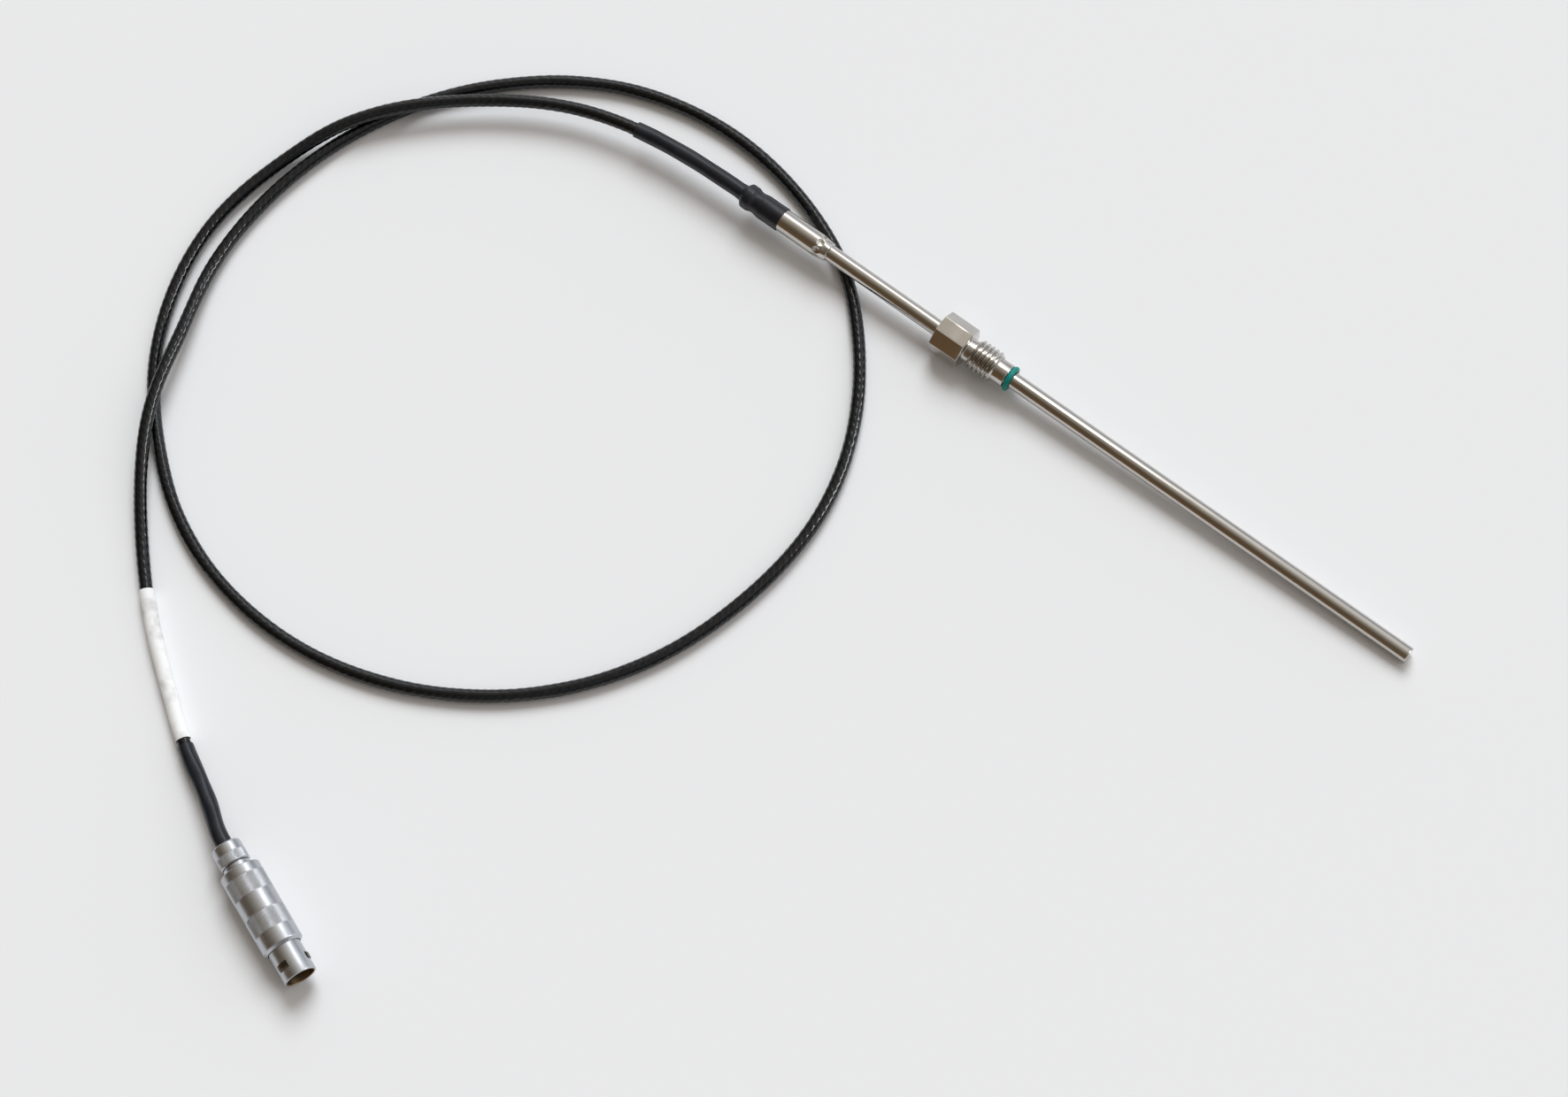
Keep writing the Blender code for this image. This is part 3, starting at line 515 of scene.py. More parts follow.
def rubber():
    finish = Finish("teal_rubber")
    specks = finish.noise(900.0)
    finish.shape(
        Base_Color=finish.blend(finish.spread(specks), *TEAL),
        Roughness=finish.spread(specks, low=0.32, high=0.48),
        Specular_IOR_Level=0.25,
    )
    finish.bump(specks, 0.01 * MM)
    return finish.material


def jacket():
    """Glossy black sheath drawn tight over wires that turn round the cable."""
    finish = Finish("black_cable")
    place = finish.add("ShaderNodeAttribute", attribute_name=TUBE_PLACE).outputs["Vector"]
    along, angle, _ = finish.split(place)
    wander = finish.noise(260.0, detail=2.0)
    turns = finish.math("MULTIPLY", angle, 2 * WIRE_STARTS)
    run = finish.math("MULTIPLY", along, math.tau * 2 * WIRE_STARTS / WIRE_LAY)
    phase = finish.math("ADD", finish.math("ADD", turns, run), finish.math("MULTIPLY", wander, 9.0))
    coarse = finish.noise(400.0, detail=1.0)
    fine = finish.noise(1500.0, detail=2.0)
    ridges = finish.math("MULTIPLY", finish.math("SINE", phase), 0.07)
    finish.shape(
        Base_Color=finish.blend(finish.spread(coarse), *JACKET),
        Roughness=finish.spread(fine, low=0.12, high=0.2),
        Specular_IOR_Level=0.42,
    )
    finish.bump(finish.math("ADD", ridges, finish.math("MULTIPLY", coarse, 1.5)), 0.08 * MM)
    return finish.material


def shrink():
    """Satin black heat-shrink, drawn over the lay of the cable underneath."""
    finish = Finish("black_heat_shrink")
    waves = finish.noise(260.0, detail=2.0)
    fine = finish.noise(2600.0)
    finish.shape(
        Base_Color=finish.blend(finish.spread(waves), *SHRINK),
        Roughness=finish.spread(fine, low=0.27, high=0.4),
        Specular_IOR_Level=0.45,
    )
    finish.bump(finish.math("ADD", waves, finish.math("MULTIPLY", fine, 0.06)), 0.12 * MM)
    return finish.material


def marker_white():
    """Matt white sleeve, with the faint grey of handling."""
    finish = Finish("white_sleeve")
    smudge = finish.noise(170.0, roughness=0.6)
    fine = finish.noise(1800.0, detail=2.0)
    finish.shape(
        Base_Color=finish.blend(finish.spread(smudge, from_high=0.5), *MARKER),
        Roughness=finish.spread(fine, low=0.5, high=0.62),
        Specular_IOR_Level=0.3,
    )
    finish.bump(finish.math("ADD", smudge, finish.math("MULTIPLY", fine, 0.1)), 0.08 * MM)
    return finish.material


def plain(name, colour, roughness, metallic=0.0):
    """A piece inside: its colour with a fine mottle."""
    finish = Finish(name)
    mottle = finish.noise(1200.0, detail=2.0)
    finish.shape(
        Base_Color=finish.blend(finish.spread(mottle), *shades(colour, 0.8)),
        Roughness=finish.spread(mottle, 0.9 * roughness, 1.1 * roughness),
        Metallic=metallic,
    )
    finish.bump(mottle, 0.005 * MM)
    return finish.material


MATERIALS = {
    "stainless_steel": metal("stainless_steel", STEEL, 0.1, 0.16, ACROSS, 0.0003),
    "satin_nickel": metal("satin_nickel", NICKEL, 0.3, 0.36, ACROSS, 0.0003),
    "drawn_steel": metal("drawn_steel", STEEL, 0.09, 0.14, ALONG, 0.0002),
    # nickel with a painted brown reflection and shade inside the plug's mouth
    "nickel_painted_bore": metal("nickel_painted_bore", NICKEL, 0.3, 0.36, ACROSS, 0.0003, (MOUTH_END, PAINTED_BORE_RADIUS)),
    "teal_rubber": rubber(),
    "heat_shrink": shrink(),
    "cable_jacket": jacket(),
    "white_sleeve": marker_white(),
    "white_ceramic": plain("white_ceramic", (0.8, 0.78, 0.72), 0.6),
    # painted shade on the latch tangs in the shell's windows
    "latch_painted_shade": metal("latch_painted_shade", LATCH_PAINTED_SHADE, 0.25, 0.35, ACROSS, 0.0003),
    "potting_resin": plain("potting_resin", (0.05, 0.045, 0.04), 0.4),
    "tinned_copper": plain("tinned_copper", (0.7, 0.66, 0.6), 0.35, metallic=1.0),
    "gold_plate": plain("gold_plate", (0.85, 0.62, 0.28), 0.25, metallic=1.0),
    "brown_insulator": plain("brown_insulator", (0.085, 0.05, 0.03), 0.45),
    "red_wire": plain("red_wire", (0.45, 0.03, 0.03), 0.45),
    "white_wire": plain("white_wire", (0.76, 0.75, 0.71), 0.45),
}


# Meshes


def add_piece(name, mesh, finish, replaces, body=ROOT, matrix=None):
    mesh.materials.append(MATERIALS[finish])
    obj = bpy.data.objects.new(name, mesh)
    bpy.context.scene.collection.objects.link(obj)
    if matrix is not None:
        obj.matrix_world = matrix
    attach(obj, body)
    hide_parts(replaces)
    return obj


def new_mesh(name, vertices, faces):
    mesh = bpy.data.meshes.new(name)
    mesh.from_pydata(np.asarray(vertices).reshape(-1, 3).tolist(), [], faces)
    return mesh


def finish_mesh(mesh, smooth_angle):
    """Turns all faces outwards and smooths them, but for edges sharper than an angle in degrees."""
    bm = bmesh.new()
    bm.from_mesh(mesh)
    bmesh.ops.recalc_face_normals(bm, faces=bm.faces)
    bm.to_mesh(mesh)
    bm.free()
    mesh.shade_smooth()
    mesh.set_sharp_from_angle(angle=math.radians(smooth_angle))
    return mesh


def mark_places(mesh, places, count, quads):
    """Keeps the place along a tube and round it in each corner of its faces. Where a face spans the
    end of the turn, its corners past it get a full turn more."""
    corners = np.zeros((len(mesh.loops), 3), np.float32)
    verts = np.array([corner.vertex_index for corner in mesh.loops])
    corners[:, :2] = places.reshape(-1, 2)[verts]
    columns = verts[: 4 * quads].reshape(-1, 4) % count
    wrapped = columns.max(axis=1) - columns.min(axis=1) > count // 2
    angles = corners[: 4 * quads, 1].reshape(-1, 4)
    angles[wrapped[:, None] & (columns < count // 2)] += math.tau
    attribute = mesh.attributes.new(TUBE_PLACE, "FLOAT_VECTOR", "CORNER")
    attribute.data.foreach_set("vector", corners.reshape(-1))


def grid_mesh(name, rows, loop=False, smooth_angle=35.0, places=None):
    """A closed skin over rings of points, an array of (rings, points, 3). With loop, the last ring
    joins the first, and otherwise each end is closed by a face."""
    rings, count, _ = rows.shape
    index = np.arange(rings * count).reshape(rings, count)
    near = index if loop else index[:-1]
    far = np.roll(index, -1, axis=0) if loop else index[1:]
    corners = [near, far, np.roll(far, -1, axis=1), np.roll(near, -1, axis=1)]
    quads = np.stack(corners, axis=-1).reshape(-1, 4)
    faces = quads.tolist()
    if not loop:
        faces += [index[0].tolist(), index[-1][::-1].tolist()]
    mesh = new_mesh(name, rows, faces)
    if places is not None:
        mark_places(mesh, places, count, len(quads))
    return finish_mesh(mesh, smooth_angle)


def band_face(near, far, column, columns):
    """The corners of the face between two rings of points, at a column."""
    after = (column + 1) % columns
    return [near * columns + column, near * columns + after, far * columns + after, far * columns + column]


def rounded(corners, steps=4):
    """An outline with each corner (along, radius, fillet) turned into an arc."""
    points = []
    count = len(corners)
    for i, (along, radius, fillet) in enumerate(corners):
        here = Vector((along, radius))
        before = Vector(corners[i - 1][:2]) - here
        after = Vector(corners[(i + 1) % count][:2]) - here
        if fillet <= 0 or before.length < TINY or after.length < TINY:
            points.append((along, radius))
            continue
        half = before.angle(after) / 2
        reach = min(fillet / math.tan(half), 0.48 * before.length, 0.48 * after.length)
        start = here + before.normalized() * reach
        end = here + after.normalized() * reach
        for k in range(steps + 1):
            t = k / steps
            point = start * (1 - t) ** 2 + here * 2 * t * (1 - t) + end * t * t
            points.append((point.x, point.y))
    return points


def turn_angles(count):
    return np.arange(count) * math.tau / count


def surface_rows(stations, radii, angles):
    """Rings about local X whose radius changes round them."""
    rows = np.empty((len(stations), len(angles), 3))
    rows[:, :, 0] = np.asarray(stations)[:, None]
    rows[:, :, 1] = radii * np.sin(angles)
    rows[:, :, 2] = radii * np.cos(angles)
    return rows


def turned_rows(outline, angles):
    """Rings about local X from an outline (along, radius)."""
    profile = np.array(outline)
    return surface_rows(profile[:, 0], np.repeat(profile[:, 1][:, None], len(angles), axis=1), angles)


def tube_rows(line, distances, radii, angles):
    """Rings round a line, with the radius given for each distance and angle."""
    heading = line.at(distances + HEADING_REACH) - line.at(distances - HEADING_REACH)
    heading /= np.linalg.norm(heading, axis=1)[:, None]
    side = np.cross([0.0, 0.0, 1.0], heading)
    side /= np.linalg.norm(side, axis=1)[:, None]
    up = np.cross(heading, side)
    cosines = np.cos(angles)[None, :, None]
    sines = np.sin(angles)[None, :, None]
    spokes = side[:, None, :] * cosines + up[:, None, :] * sines
    return line.at(distances)[:, None, :] + spokes * radii[:, :, None]


# Pieces of the probe


def make_sheath():
    bore = SHEATH_RADIUS - SHEATH_WALL
    floor = SHEATH_REACH - TIP_WALL
    outline = rounded(
        [
            (floor, AXIS_GAP, NO_ROUND),
            (floor, bore, NO_ROUND),
            (-SHEATH_TAIL, bore, NO_ROUND),
            (-SHEATH_TAIL, SHEATH_RADIUS, SMALL_ROUND),
            (SHEATH_REACH, SHEATH_RADIUS, TIP_ROUND),
            (SHEATH_REACH, AXIS_GAP, NO_ROUND),
        ],
        TIP_STEPS,
    )
    mesh = grid_mesh("sheath", turned_rows(outline, turn_angles(SHEATH_SIDES)))
    add_piece("sheath", mesh, "drawn_steel", "probe_sheath", matrix=PROBE)


def octagon(fillet, per_corner=5, per_flat=11):
    """Angles round the block's outline, and its radius at each for a flat at unit distance."""
    half = math.pi / 8
    angles, radii = [], []
    centre = (1.0 - fillet) / math.cos(half)
    for corner in range(8):
        middle = 2 * half * corner + half
        arc = []
        for t in np.linspace(-half, half, per_corner):
            x = centre + fillet * math.cos(t)
            y = fillet * math.sin(t)
            arc.append((middle + math.atan2(y, x), math.hypot(x, y)))
        angles += [angle for angle, _ in arc]
        radii += [radius for _, radius in arc]
        start = arc[-1][0]
        flat = middle + half
        for t in np.linspace(start, 2 * flat - start, per_flat + 2)[1:-1]:
            angles.append(t)
            radii.append(1.0 / math.cos(t - flat))
    return np.array(angles), np.array(radii)


def thread_radii(stations, angles):
    """The thread's outer surface, a right-hand helix whose crests and roots are narrow."""
    turn = (stations[:, None] / THREAD_PITCH - angles[None, :] / math.tau) % 1.0
    slope = (np.abs(2 * turn - 1) - ROOT_FLAT) / (1 - ROOT_FLAT - CREST_FLAT)
    slope = np.clip(slope, 0.0, 1.0)
    slope = slope + THREAD_SOFTENING * np.sin(math.tau * slope) / math.tau
    run_in = np.minimum(stations - RELIEF_END, THREAD_END - stations)[:, None]
    return THREAD_ROOT + np.clip(THREAD_DEPTH * slope, 0.0, np.maximum(run_in, 0.0))


def make_fitting():
    """The octagonal block, and ahead of it the relief, the thread and the nose, turned as one."""
    angles, shape = octagon(BLOCK_CORNER)
    ones = np.ones_like(angles)
    edge = [
        (BLOCK_ROUND * (1 - math.sin(t)), BLOCK_HALF_WIDTH - BLOCK_ROUND * (1 - math.cos(t)))
        for t in np.linspace(0.0, math.pi / 2, 4)
    ]
    rings = [(-BLOCK_LENGTH + inset, shape * width) for inset, width in reversed(edge)]
    rings += [(-inset, shape * width) for inset, width in edge]
    for t in np.linspace(0.0, math.pi / 2, 6):
        radius = RELIEF_RADIUS + RELIEF_FILLET * (1 - math.sin(t))
        rings.append((RELIEF_FILLET * (1 - math.cos(t)), ones * radius))
    rings.append((RELIEF_END, ones * RELIEF_RADIUS))
    threads = np.linspace(RELIEF_END, THREAD_END, THREAD_RINGS)
    rings += zip(threads, thread_radii(threads, angles))
    nose = rounded(
        [
            (THREAD_END, RELIEF_RADIUS, NO_ROUND),
            (NOSE_END, RELIEF_RADIUS, NOSE_ROUND),
            (NOSE_END, FITTING_BORE, SMALL_ROUND),
            (-BLOCK_LENGTH, FITTING_BORE, NO_ROUND),
        ]
    )
    rings += [(along, ones * radius) for along, radius in nose]
    stations, radii = zip(*rings)
    mesh = grid_mesh("fitting", surface_rows(stations, np.array(radii), angles), loop=True, smooth_angle=28.0)
    add_piece("fitting", mesh, "stainless_steel", "process_fitting", matrix=PROBE)


def make_o_ring():
    outline = [
        (RING_SECTION * math.sin(a), RING_MIDDLE + RING_SECTION * math.cos(a))
        for a in turn_angles(RING_SECTION_SIDES)
    ]
    mesh = grid_mesh("seal_ring", turned_rows(outline, turn_angles(RING_SIDES)), loop=True)
    place = PROBE @ Matrix.Translation((RING_AT, 0, 0)) @ Matrix.Rotation(RING_TILT, 4, "Z")
    add_piece("seal_ring", mesh, "teal_rubber", "o_ring", matrix=place)


def crimped_radii(stations, angles):
    """The transition sleeve, drawn in at its front end and dimpled all round."""
    behind = -np.asarray(stations)[:, None] - SLEEVE_FRONT
    share = np.clip(behind / CRIMP_LENGTH, 0.0, 1.0)
    smooth = share * share * (3 - 2 * share)
    step = math.tau / DIMPLES
    turn = (angles[None, :] + step / 2) % step - step / 2
    scallops = SCALLOP_DEPTH * (1 - np.cos(DIMPLES * angles))[None, :]
    scallops = scallops * np.clip(1 - behind / SCALLOP_LENGTH, 0.0, 1.0)
    radii = CRIMP_RADIUS + (SLEEVE_RADIUS - CRIMP_RADIUS) * smooth - scallops
    radii = radii - np.clip(CRIMP_LIP - behind, 0.0, None)
    away = np.hypot(turn * radii, behind - DIMPLE_AT) / DIMPLE_RADIUS
    hollow = DIMPLE_DEPTH * np.cos(np.clip(away, 0.0, 1.0) * math.pi / 2)
    return radii - np.where(away < 1.0, hollow, 0.0)


def make_transition_sleeve():
    angles = turn_angles(SLEEVE_SIDES)
    stations = list(np.linspace(-SLEEVE_FRONT, -SLEEVE_FRONT - CRIMP_ZONE, CRIMP_RINGS)) + [-SLEEVE_REAR]
    radii = list(crimped_radii(stations, angles))
    inside = [
        (-SLEEVE_REAR, SLEEVE_BORE),
        (-SLEEVE_FRONT - BORE_STEP[1], SLEEVE_BORE),
        (-SLEEVE_FRONT - BORE_STEP[0], SLEEVE_FRONT_BORE),
        (-SLEEVE_FRONT, SLEEVE_FRONT_BORE),
    ]
    for along, radius in inside:
        stations.append(along)
        radii.append(np.full(SLEEVE_SIDES, radius))
    mesh = grid_mesh("crimped_sleeve", surface_rows(stations, np.array(radii), angles), loop=True)
    add_piece("crimped_sleeve", mesh, "stainless_steel", "transition_sleeve", matrix=PROBE)


# The cable and the sleeves on it


def make_cable():
    """The cable's piece, and the points of its centre line."""
    start = CABLE_START - ROUTE_START
    end = ROUTE_PLUG_REAR + CABLE_END
    distances = np.linspace(start, end, round((end - start) / CABLE_ROW))
    angles = turn_angles(CABLE_SIDES)
    along = distances[:, None] / MM
    wander = sum(height * np.sin(along / length + begin) for height, length, begin in WIRE_WANDER)
    waves = np.sin(WIRE_STARTS * (angles + math.tau * along / WIRE_LAY) + wander)
    sway = OVAL_WANDER * np.sin(along / OVAL_WANDER_LENGTH)
    oval = np.sin(2 * angles + math.tau * along / OVAL_LAY + sway)
    radii = CABLE_RADIUS - JACKET_INSET + WIRE_HEIGHT * waves + OVAL_HEIGHT * oval
    places = np.stack(np.broadcast_arrays(along, angles), axis=-1)
    mesh = grid_mesh("cable", tube_rows(ROUTE_LINE, distances, radii, angles), places=places)
    piece = add_piece("cable", mesh, "cable_jacket", "signal_cable")
    path = ROUTE_LINE.at(np.linspace(start, end, round((end - start) / PATH_STEP)))
    return piece, [Vector(point) for point in path]


def shrink_piece(name, node, stations, lump, finish="heat_shrink", step=SHRINK_STEP):
    """Tubing shrunk on. A station is (distance along the line, outer radius, inner radius)."""
    places, outers, inners = np.array(stations).T
    distances = np.append(np.arange(places[0], places[-1], step), places[-1])
    blur = np.array(SHRINK_BLUR)
    blur /= blur.sum()
    outer = np.pad(np.interp(distances, places, outers), len(blur) // 2, mode="edge")
    outer = np.convolve(outer, blur, mode="valid")
    angles = turn_angles(SHRINK_SIDES)
    along = distances[:, None] / MM
    waves = np.sin(2 * angles - math.tau * along / LUMP_LAY)
    waves = waves + LUMP_SHARE * np.sin(3 * angles + along / LUMP_LENGTH + 1.0)
    radii = outer[:, None] + lump * waves
    radii[0] -= SHRINK_END_INSET
    inner = np.broadcast_to(np.interp(distances, places, inners)[:, None], radii.shape)
    out = tube_rows(ROUTE_LINE, distances, radii, angles)
    back = tube_rows(ROUTE_LINE, distances, inner, angles)
    mesh = grid_mesh(name, np.concatenate([out, back[::-1]]), loop=True, smooth_angle=40.0)
    return add_piece(name, mesh, finish, node)


def make_probe_boot():
    bore = CABLE_RADIUS + SHRINK_FIT
    stations = [
        (along * MM - ROUTE_START, radius * MM, max(radius * MM - BOOT_WALL, bore))
        for along, radius in BOOT_OUTLINE
    ]
    return shrink_piece("probe_boot_skin", "probe_boot", stations, BOOT_LUMP, step=BOOT_STEP)


def make_cable_sleeves():
    boot_end = ROUTE_PLUG_REAR + PLUG_BOOT_INSIDE
    boot_start = boot_end - PLUG_BOOT_LENGTH
    marker_end = boot_start - MARKER_GAP
    marker_start = marker_end - MARKER_LENGTH
    bore = CABLE_RADIUS + SHRINK_FIT
    boot = [(boot_start, PLUG_BOOT_RADIUS, bore), (boot_end, PLUG_BOOT_RADIUS, bore)]
    marker = [(marker_start, MARKER_RADIUS, bore), (marker_end, MARKER_RADIUS, bore)]
    return (
        shrink_piece("marker_skin", "marker_sleeve", marker, MARKER_LUMP, "white_sleeve"),
        shrink_piece("plug_boot_skin", "plug_boot", boot, PLUG_BOOT_LUMP),
    )


# Pieces of the plug


def knurled_rings(start, end, radius, teeth):
    """Rings of a diamond knurl: points and hollows stand by turns, half a pitch apart."""
    columns = 2 * teeth
    pitch = math.tau * radius / teeth
    count = 2 * round((end - start) / pitch) + 1
    hollows = (np.arange(count)[:, None] + np.arange(columns)[None, :]) % 2 == 0
    radii = np.where(hollows, radius - KNURL_DEPTH, radius)
    radii[0] = radius - KNURL_DEPTH
    radii[-1] = radius - KNURL_DEPTH
    return list(zip(np.linspace(start, end, count), radii))


def plain_rings(outline, teeth):
    return [(along, np.full(2 * teeth, radius)) for along, radius in outline]


def banded_mesh(name, bands):
    """A turned piece from lists of rings (along, radii), plain or knurled, one after another."""
    stations, radii = zip(*(ring for band in bands for ring in band))
    radii = np.array(radii)
    rings, columns = radii.shape
    faces = []
    for i in range(rings):
        j = (i + 1) % rings
        flat = np.ptp(radii[i]) < TINY and np.ptp(radii[j]) < TINY
        for a in range(columns):
            b = (a + 1) % columns
            face = band_face(i, j, a, columns)
            if flat:
                faces.append(face)
            elif radii[i, a] + radii[j, b] < radii[i, b] + radii[j, a]:
                faces += [[face[0], face[1], face[2]], [face[0], face[2], face[3]]]
            else:
                faces += [[face[0], face[1], face[3]], [face[1], face[2], face[3]]]
    mesh = new_mesh(name, surface_rows(stations, radii, turn_angles(columns)), faces)
    return finish_mesh(mesh, 32.0)


def make_nut():
    teeth = NUT_KNURL_TEETH
    smooth = rounded(
        [
            (0.0, NUT_BORE, SMALL_ROUND),
            (0.0, NUT_RADIUS, NUT_ROUND),
            (NUT_KNURL_START - KNURL_MARGIN, NUT_RADIUS, NO_ROUND),
        ],
        NUT_ROUND_STEPS,
    )
    inside = [
        (NUT_LENGTH, NUT_RADIUS - NUT_CHAMFER),
        (NUT_LENGTH, NUT_WIDE_BORE),
        (NUT_BORE_STEP, NUT_WIDE_BORE),
        (NUT_BORE_STEP, NUT_BORE),
    ]
    bands = [
        plain_rings(smooth, teeth),
        knurled_rings(NUT_KNURL_START, NUT_LENGTH - NUT_KNURL_REST, NUT_RADIUS, teeth),
        plain_rings(inside, teeth),
    ]
    return add_piece("nut", banded_mesh("nut", bands), "satin_nickel", "collet_nut", matrix=PLUG)


def make_release_sleeve():
    teeth = RELEASE_KNURL_TEETH
    radius = RELEASE_RADIUS
    (first_start, first_end), (second_start, second_end) = RELEASE_KNURLS
    lip_end = RELEASE_START + RELEASE_LIP_LENGTH
    rear = rounded(
        [
            (RELEASE_START, RELEASE_LIP, SMALL_ROUND),
            (RELEASE_START, radius, RELEASE_REAR_ROUND),
            (first_start - KNURL_MARGIN, radius, NO_ROUND),
        ]
    )
    middle = [(first_end + KNURL_MARGIN, radius), (second_start - KNURL_MARGIN, radius)]
    front = rounded(
        [
            (second_end + KNURL_MARGIN, radius, NO_ROUND),
            (RELEASE_TAPER_START, radius, RELEASE_TAPER_ROUND),
            (RELEASE_END, radius - RELEASE_TAPER, SMALL_ROUND),
            (RELEASE_END, RELEASE_BORE, SMALL_ROUND),
            (lip_end, RELEASE_BORE, NO_ROUND),
            (lip_end, RELEASE_LIP, NO_ROUND),
        ]
    )
    bands = [
        plain_rings(rear, teeth),
        knurled_rings(first_start, first_end, radius, teeth),
        plain_rings(middle, teeth),
        knurled_rings(second_start, second_end, radius, teeth),
        plain_rings(front, teeth),
    ]
    mesh = banded_mesh("release_grip", bands)
    return add_piece("release_grip", mesh, "satin_nickel", "release_sleeve", body="release", matrix=PLUG)


def latch_columns():
    """Angles round the shell, and the columns of faces in each of its windows."""
    half = 0.5 * LATCH_WIDTH / SHELL_RADIUS
    angles, windows = [], []
    for k in range(LATCHES):
        middle = LATCH_TURN + math.tau * k / LATCHES
        windows.append(range(len(angles), len(angles) + LATCH_FACES))
        angles += list(np.linspace(middle - half, middle + half, LATCH_FACES + 1))
        rest = np.linspace(middle + half, middle + math.tau / LATCHES - half, LATCH_REST_FACES + 1)
        angles += list(rest[1:-1])
    return np.array(angles), windows


def make_shell():
    """The plug's body, with a window for each latch tang."""
    angles, windows = latch_columns()
    outline = rounded(
        [
            (SHELL_REAR, COLLET_BORE, NO_ROUND),
            (SHELL_REAR, SHELL_TAIL_RADIUS, SMALL_ROUND),
            (SHELL_TAIL_END, SHELL_TAIL_RADIUS, NO_ROUND),
            (SHELL_TAIL_END, SHELL_COLLAR_RADIUS, SMALL_ROUND),
            (SHELL_COLLAR_END, SHELL_COLLAR_RADIUS, NO_ROUND),
            (SHELL_COLLAR_END, SHELL_RADIUS, SMALL_ROUND),
            (LATCH_START, SHELL_RADIUS, NO_ROUND),
            (LATCH_END, SHELL_RADIUS, NO_ROUND),
            (SHELL_FRONT, SHELL_RADIUS, SHELL_FRONT_ROUND),
            (SHELL_FRONT, MOUTH_RADIUS, MOUTH_ROUND),
            (LATCH_END, MOUTH_RADIUS, NO_ROUND),
            (LATCH_START, MOUTH_RADIUS, NO_ROUND),
            (MOUTH_END, MOUTH_RADIUS, NO_ROUND),
            (MOUTH_END, INSERT_BORE, NO_ROUND),
            (INSERT_SEAT, INSERT_BORE, NO_ROUND),
            (INSERT_SEAT, SHELL_CABLE_BORE, NO_ROUND),
            (COLLET_SEAT_END, SHELL_CABLE_BORE, NO_ROUND),
            (COLLET_SEAT_END, COLLET_BORE, NO_ROUND),
        ]
    )
    rings, columns = len(outline), len(angles)
    outer = outline.index((LATCH_START, SHELL_RADIUS))
    inner = outline.index((LATCH_END, MOUTH_RADIUS))
    cut = {column for window in windows for column in window}
    faces = []
    for i in range(rings):
        for a in range(columns):
            if i not in (outer, inner) or a not in cut:
                faces.append(band_face(i, (i + 1) % rings, a, columns))
    for near, far in ((outer, inner + 1), (outer + 1, inner)):
        faces += [band_face(near, far, a, columns) for a in sorted(cut)]
    for window in windows:
        for a in (window[0], window[-1] + 1):
            faces.append([ring * columns + a for ring in (outer, outer + 1, inner, inner + 1)])
    mesh = finish_mesh(new_mesh("shell", turned_rows(outline, angles), faces), 35.0)
    # the shell's mouth carries the painted brown reflection and shade
    return add_piece("shell", mesh, "nickel_painted_bore", "plug_shell", matrix=PLUG)


def dress_cad_nodes():
    """The pieces that keep their solids get the same finishes."""
    for part in frame["record"]["subparts"]:
        mesh = frame["nodes"][part["node"]].data
        mesh.materials.clear()
        mesh.materials.append(MATERIALS[FINISHES.get(part["node"], part["material_slot"])])


# The camera, the table and the light


def make_camera():
    data = bpy.data.cameras.new("camera")
    data.sensor_width = SENSOR_WIDTH
    data.lens = FOCAL_PX / IMAGE_WIDTH * SENSOR_WIDTH
    data.clip_start = CLIP_START
    data.clip_end = CLIP_END
    camera = bpy.data.objects.new("camera", data)
    bpy.context.scene.collection.objects.link(camera)
    level = math.cos(CAMERA_ELEVATION)
    ahead = Vector(
        (
            math.cos(CAMERA_HEADING) * level,
            math.sin(CAMERA_HEADING) * level,
            -math.sin(CAMERA_ELEVATION),
        )
    )
    turn = ahead.to_track_quat("-Z", "Y") @ Matrix.Rotation(-CAMERA_ROLL, 3, "Z").to_quaternion()
    camera.matrix_world = Matrix.LocRotScale(CAMERA_TARGET - ahead * CAMERA_DISTANCE, turn, None)
    bpy.context.scene.camera = camera


def level_mesh(name, x, y):
    """A level rectangle from -x to x and from -y to y."""
    return new_mesh(name, [(-x, -y, 0), (x, -y, 0), (x, y, 0), (-x, y, 0)], [(0, 1, 2, 3)])


def make_floor():
    mesh = level_mesh("floor", FLOOR_REACH, FLOOR_REACH)
    finish = Finish("pale_floor")
    finish.shape(Base_Color=FLOOR_COLOUR, Roughness=0.9, Specular_IOR_Level=0.1)
    mesh.materials.append(finish.material)
    floor = bpy.data.objects.new("floor", mesh)
    bpy.context.scene.collection.objects.link(floor)


def make_sun():
    """A wide soft light from beyond the probe."""
    data = bpy.data.lights.new("soft_light", "SUN")
    data.energy = SUN_STRENGTH
    data.color = SUN_COLOUR
    data.angle = SUN_WIDTH
    sun = bpy.data.objects.new("soft_light", data)
    sun.rotation_mode = "QUATERNION"
    sun.rotation_quaternion = Vector(SUN_DIRECTION).to_track_quat("Z", "Y")
    sun.visible_glossy = False
    bpy.context.scene.collection.objects.link(sun)


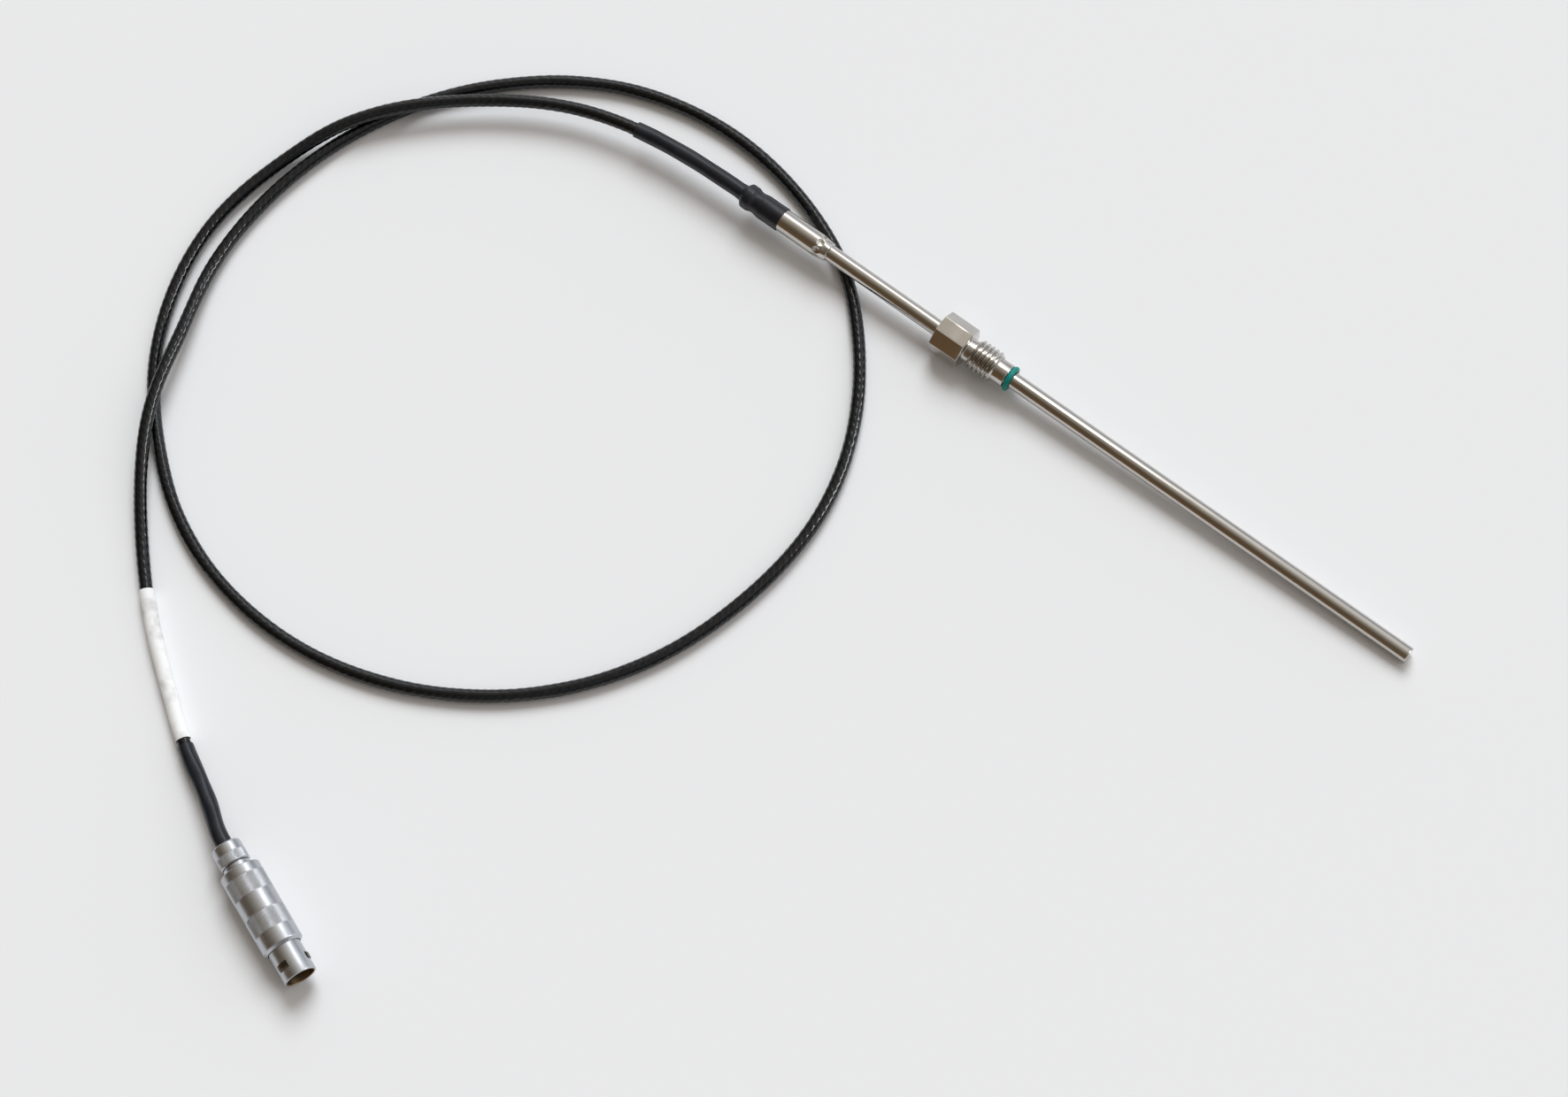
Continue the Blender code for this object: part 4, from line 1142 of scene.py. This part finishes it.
def make_room():
    """A room that is darker and brown on the near side, darker to the sides, and cool past the tip."""
    world = bpy.data.worlds.new("room")
    world.use_nodes = True
    bpy.context.scene.world = world
    nodes = Nodes(world.node_tree)
    x, y, _ = nodes.split(nodes.add("ShaderNodeTexCoord").outputs["Generated"])
    ramp = nodes.add("ShaderNodeValToRGB")
    ramp.color_ramp.interpolation = "EASE"
    stops = ramp.color_ramp.elements
    while len(stops) < len(ROOM):
        stops.new(0.5)
    for stop, (lean, colour) in zip(stops, ROOM):
        stop.position = 0.5 + 0.5 * lean
        stop.color = (*colour, 1.0)
    nodes.put(ramp.inputs["Fac"], nodes.spread(y, from_low=-1.0, from_high=1.0))
    fill = nodes.spread(x, from_low=FILL_START, from_high=FILL_FULL, ease="SMOOTHSTEP")
    colour = nodes.blend(fill, ramp.outputs["Color"], (*FILL, 1.0), kind="ADD")
    aside = nodes.math("ABSOLUTE", x)
    strength = nodes.spread(aside, 1.0, SIDE_LEVEL, SIDE_START, SIDE_FULL, ease="SMOOTHSTEP")
    background = nodes.tree.nodes["Background"]
    nodes.put(background.inputs["Color"], colour)
    nodes.put(background.inputs["Strength"], strength)


def make_panel(name, centre, size, fade, strength):
    """A level glowing panel that fades at its edges. Only reflections show it."""
    halves = (size[0] / 2, size[1] / 2)
    mesh = level_mesh(name, *halves)
    finish = Finish(name)
    level = strength
    for place, half, edge in zip(finish.split(finish.object_coordinates()), halves, fade):
        aside = finish.math("ABSOLUTE", place)
        level = finish.math("MULTIPLY", level, finish.spread(aside, 1.0, 0.0, half - edge, half))
    glow = finish.add("ShaderNodeEmission")
    finish.put(glow.inputs["Strength"], level)
    both = finish.add("ShaderNodeAddShader")
    finish.put(both.inputs[0], glow.outputs["Emission"])
    finish.put(both.inputs[1], finish.add("ShaderNodeBsdfTransparent").outputs["BSDF"])
    finish.put(finish.tree.nodes["Material Output"].inputs["Surface"], both.outputs["Shader"])
    mesh.materials.append(finish.material)
    panel = bpy.data.objects.new(name, mesh)
    panel.location = centre
    panel.visible_camera = False
    panel.visible_diffuse = False
    panel.visible_shadow = False
    bpy.context.scene.collection.objects.link(panel)


make_camera()
make_floor()
make_sun()
make_room()
for panel_name, facts in PANELS.items():
    make_panel(panel_name, *facts)
dress_cad_nodes()
make_sheath()
make_fitting()
make_o_ring()
make_transition_sleeve()
cable, cable_path = make_cable()
probe_boot = make_probe_boot()
marker, plug_boot = make_cable_sleeves()
nut = make_nut()
release = make_release_sleeve()
shell = make_shell()

bpy.context.scene.view_settings.view_transform = "Standard"
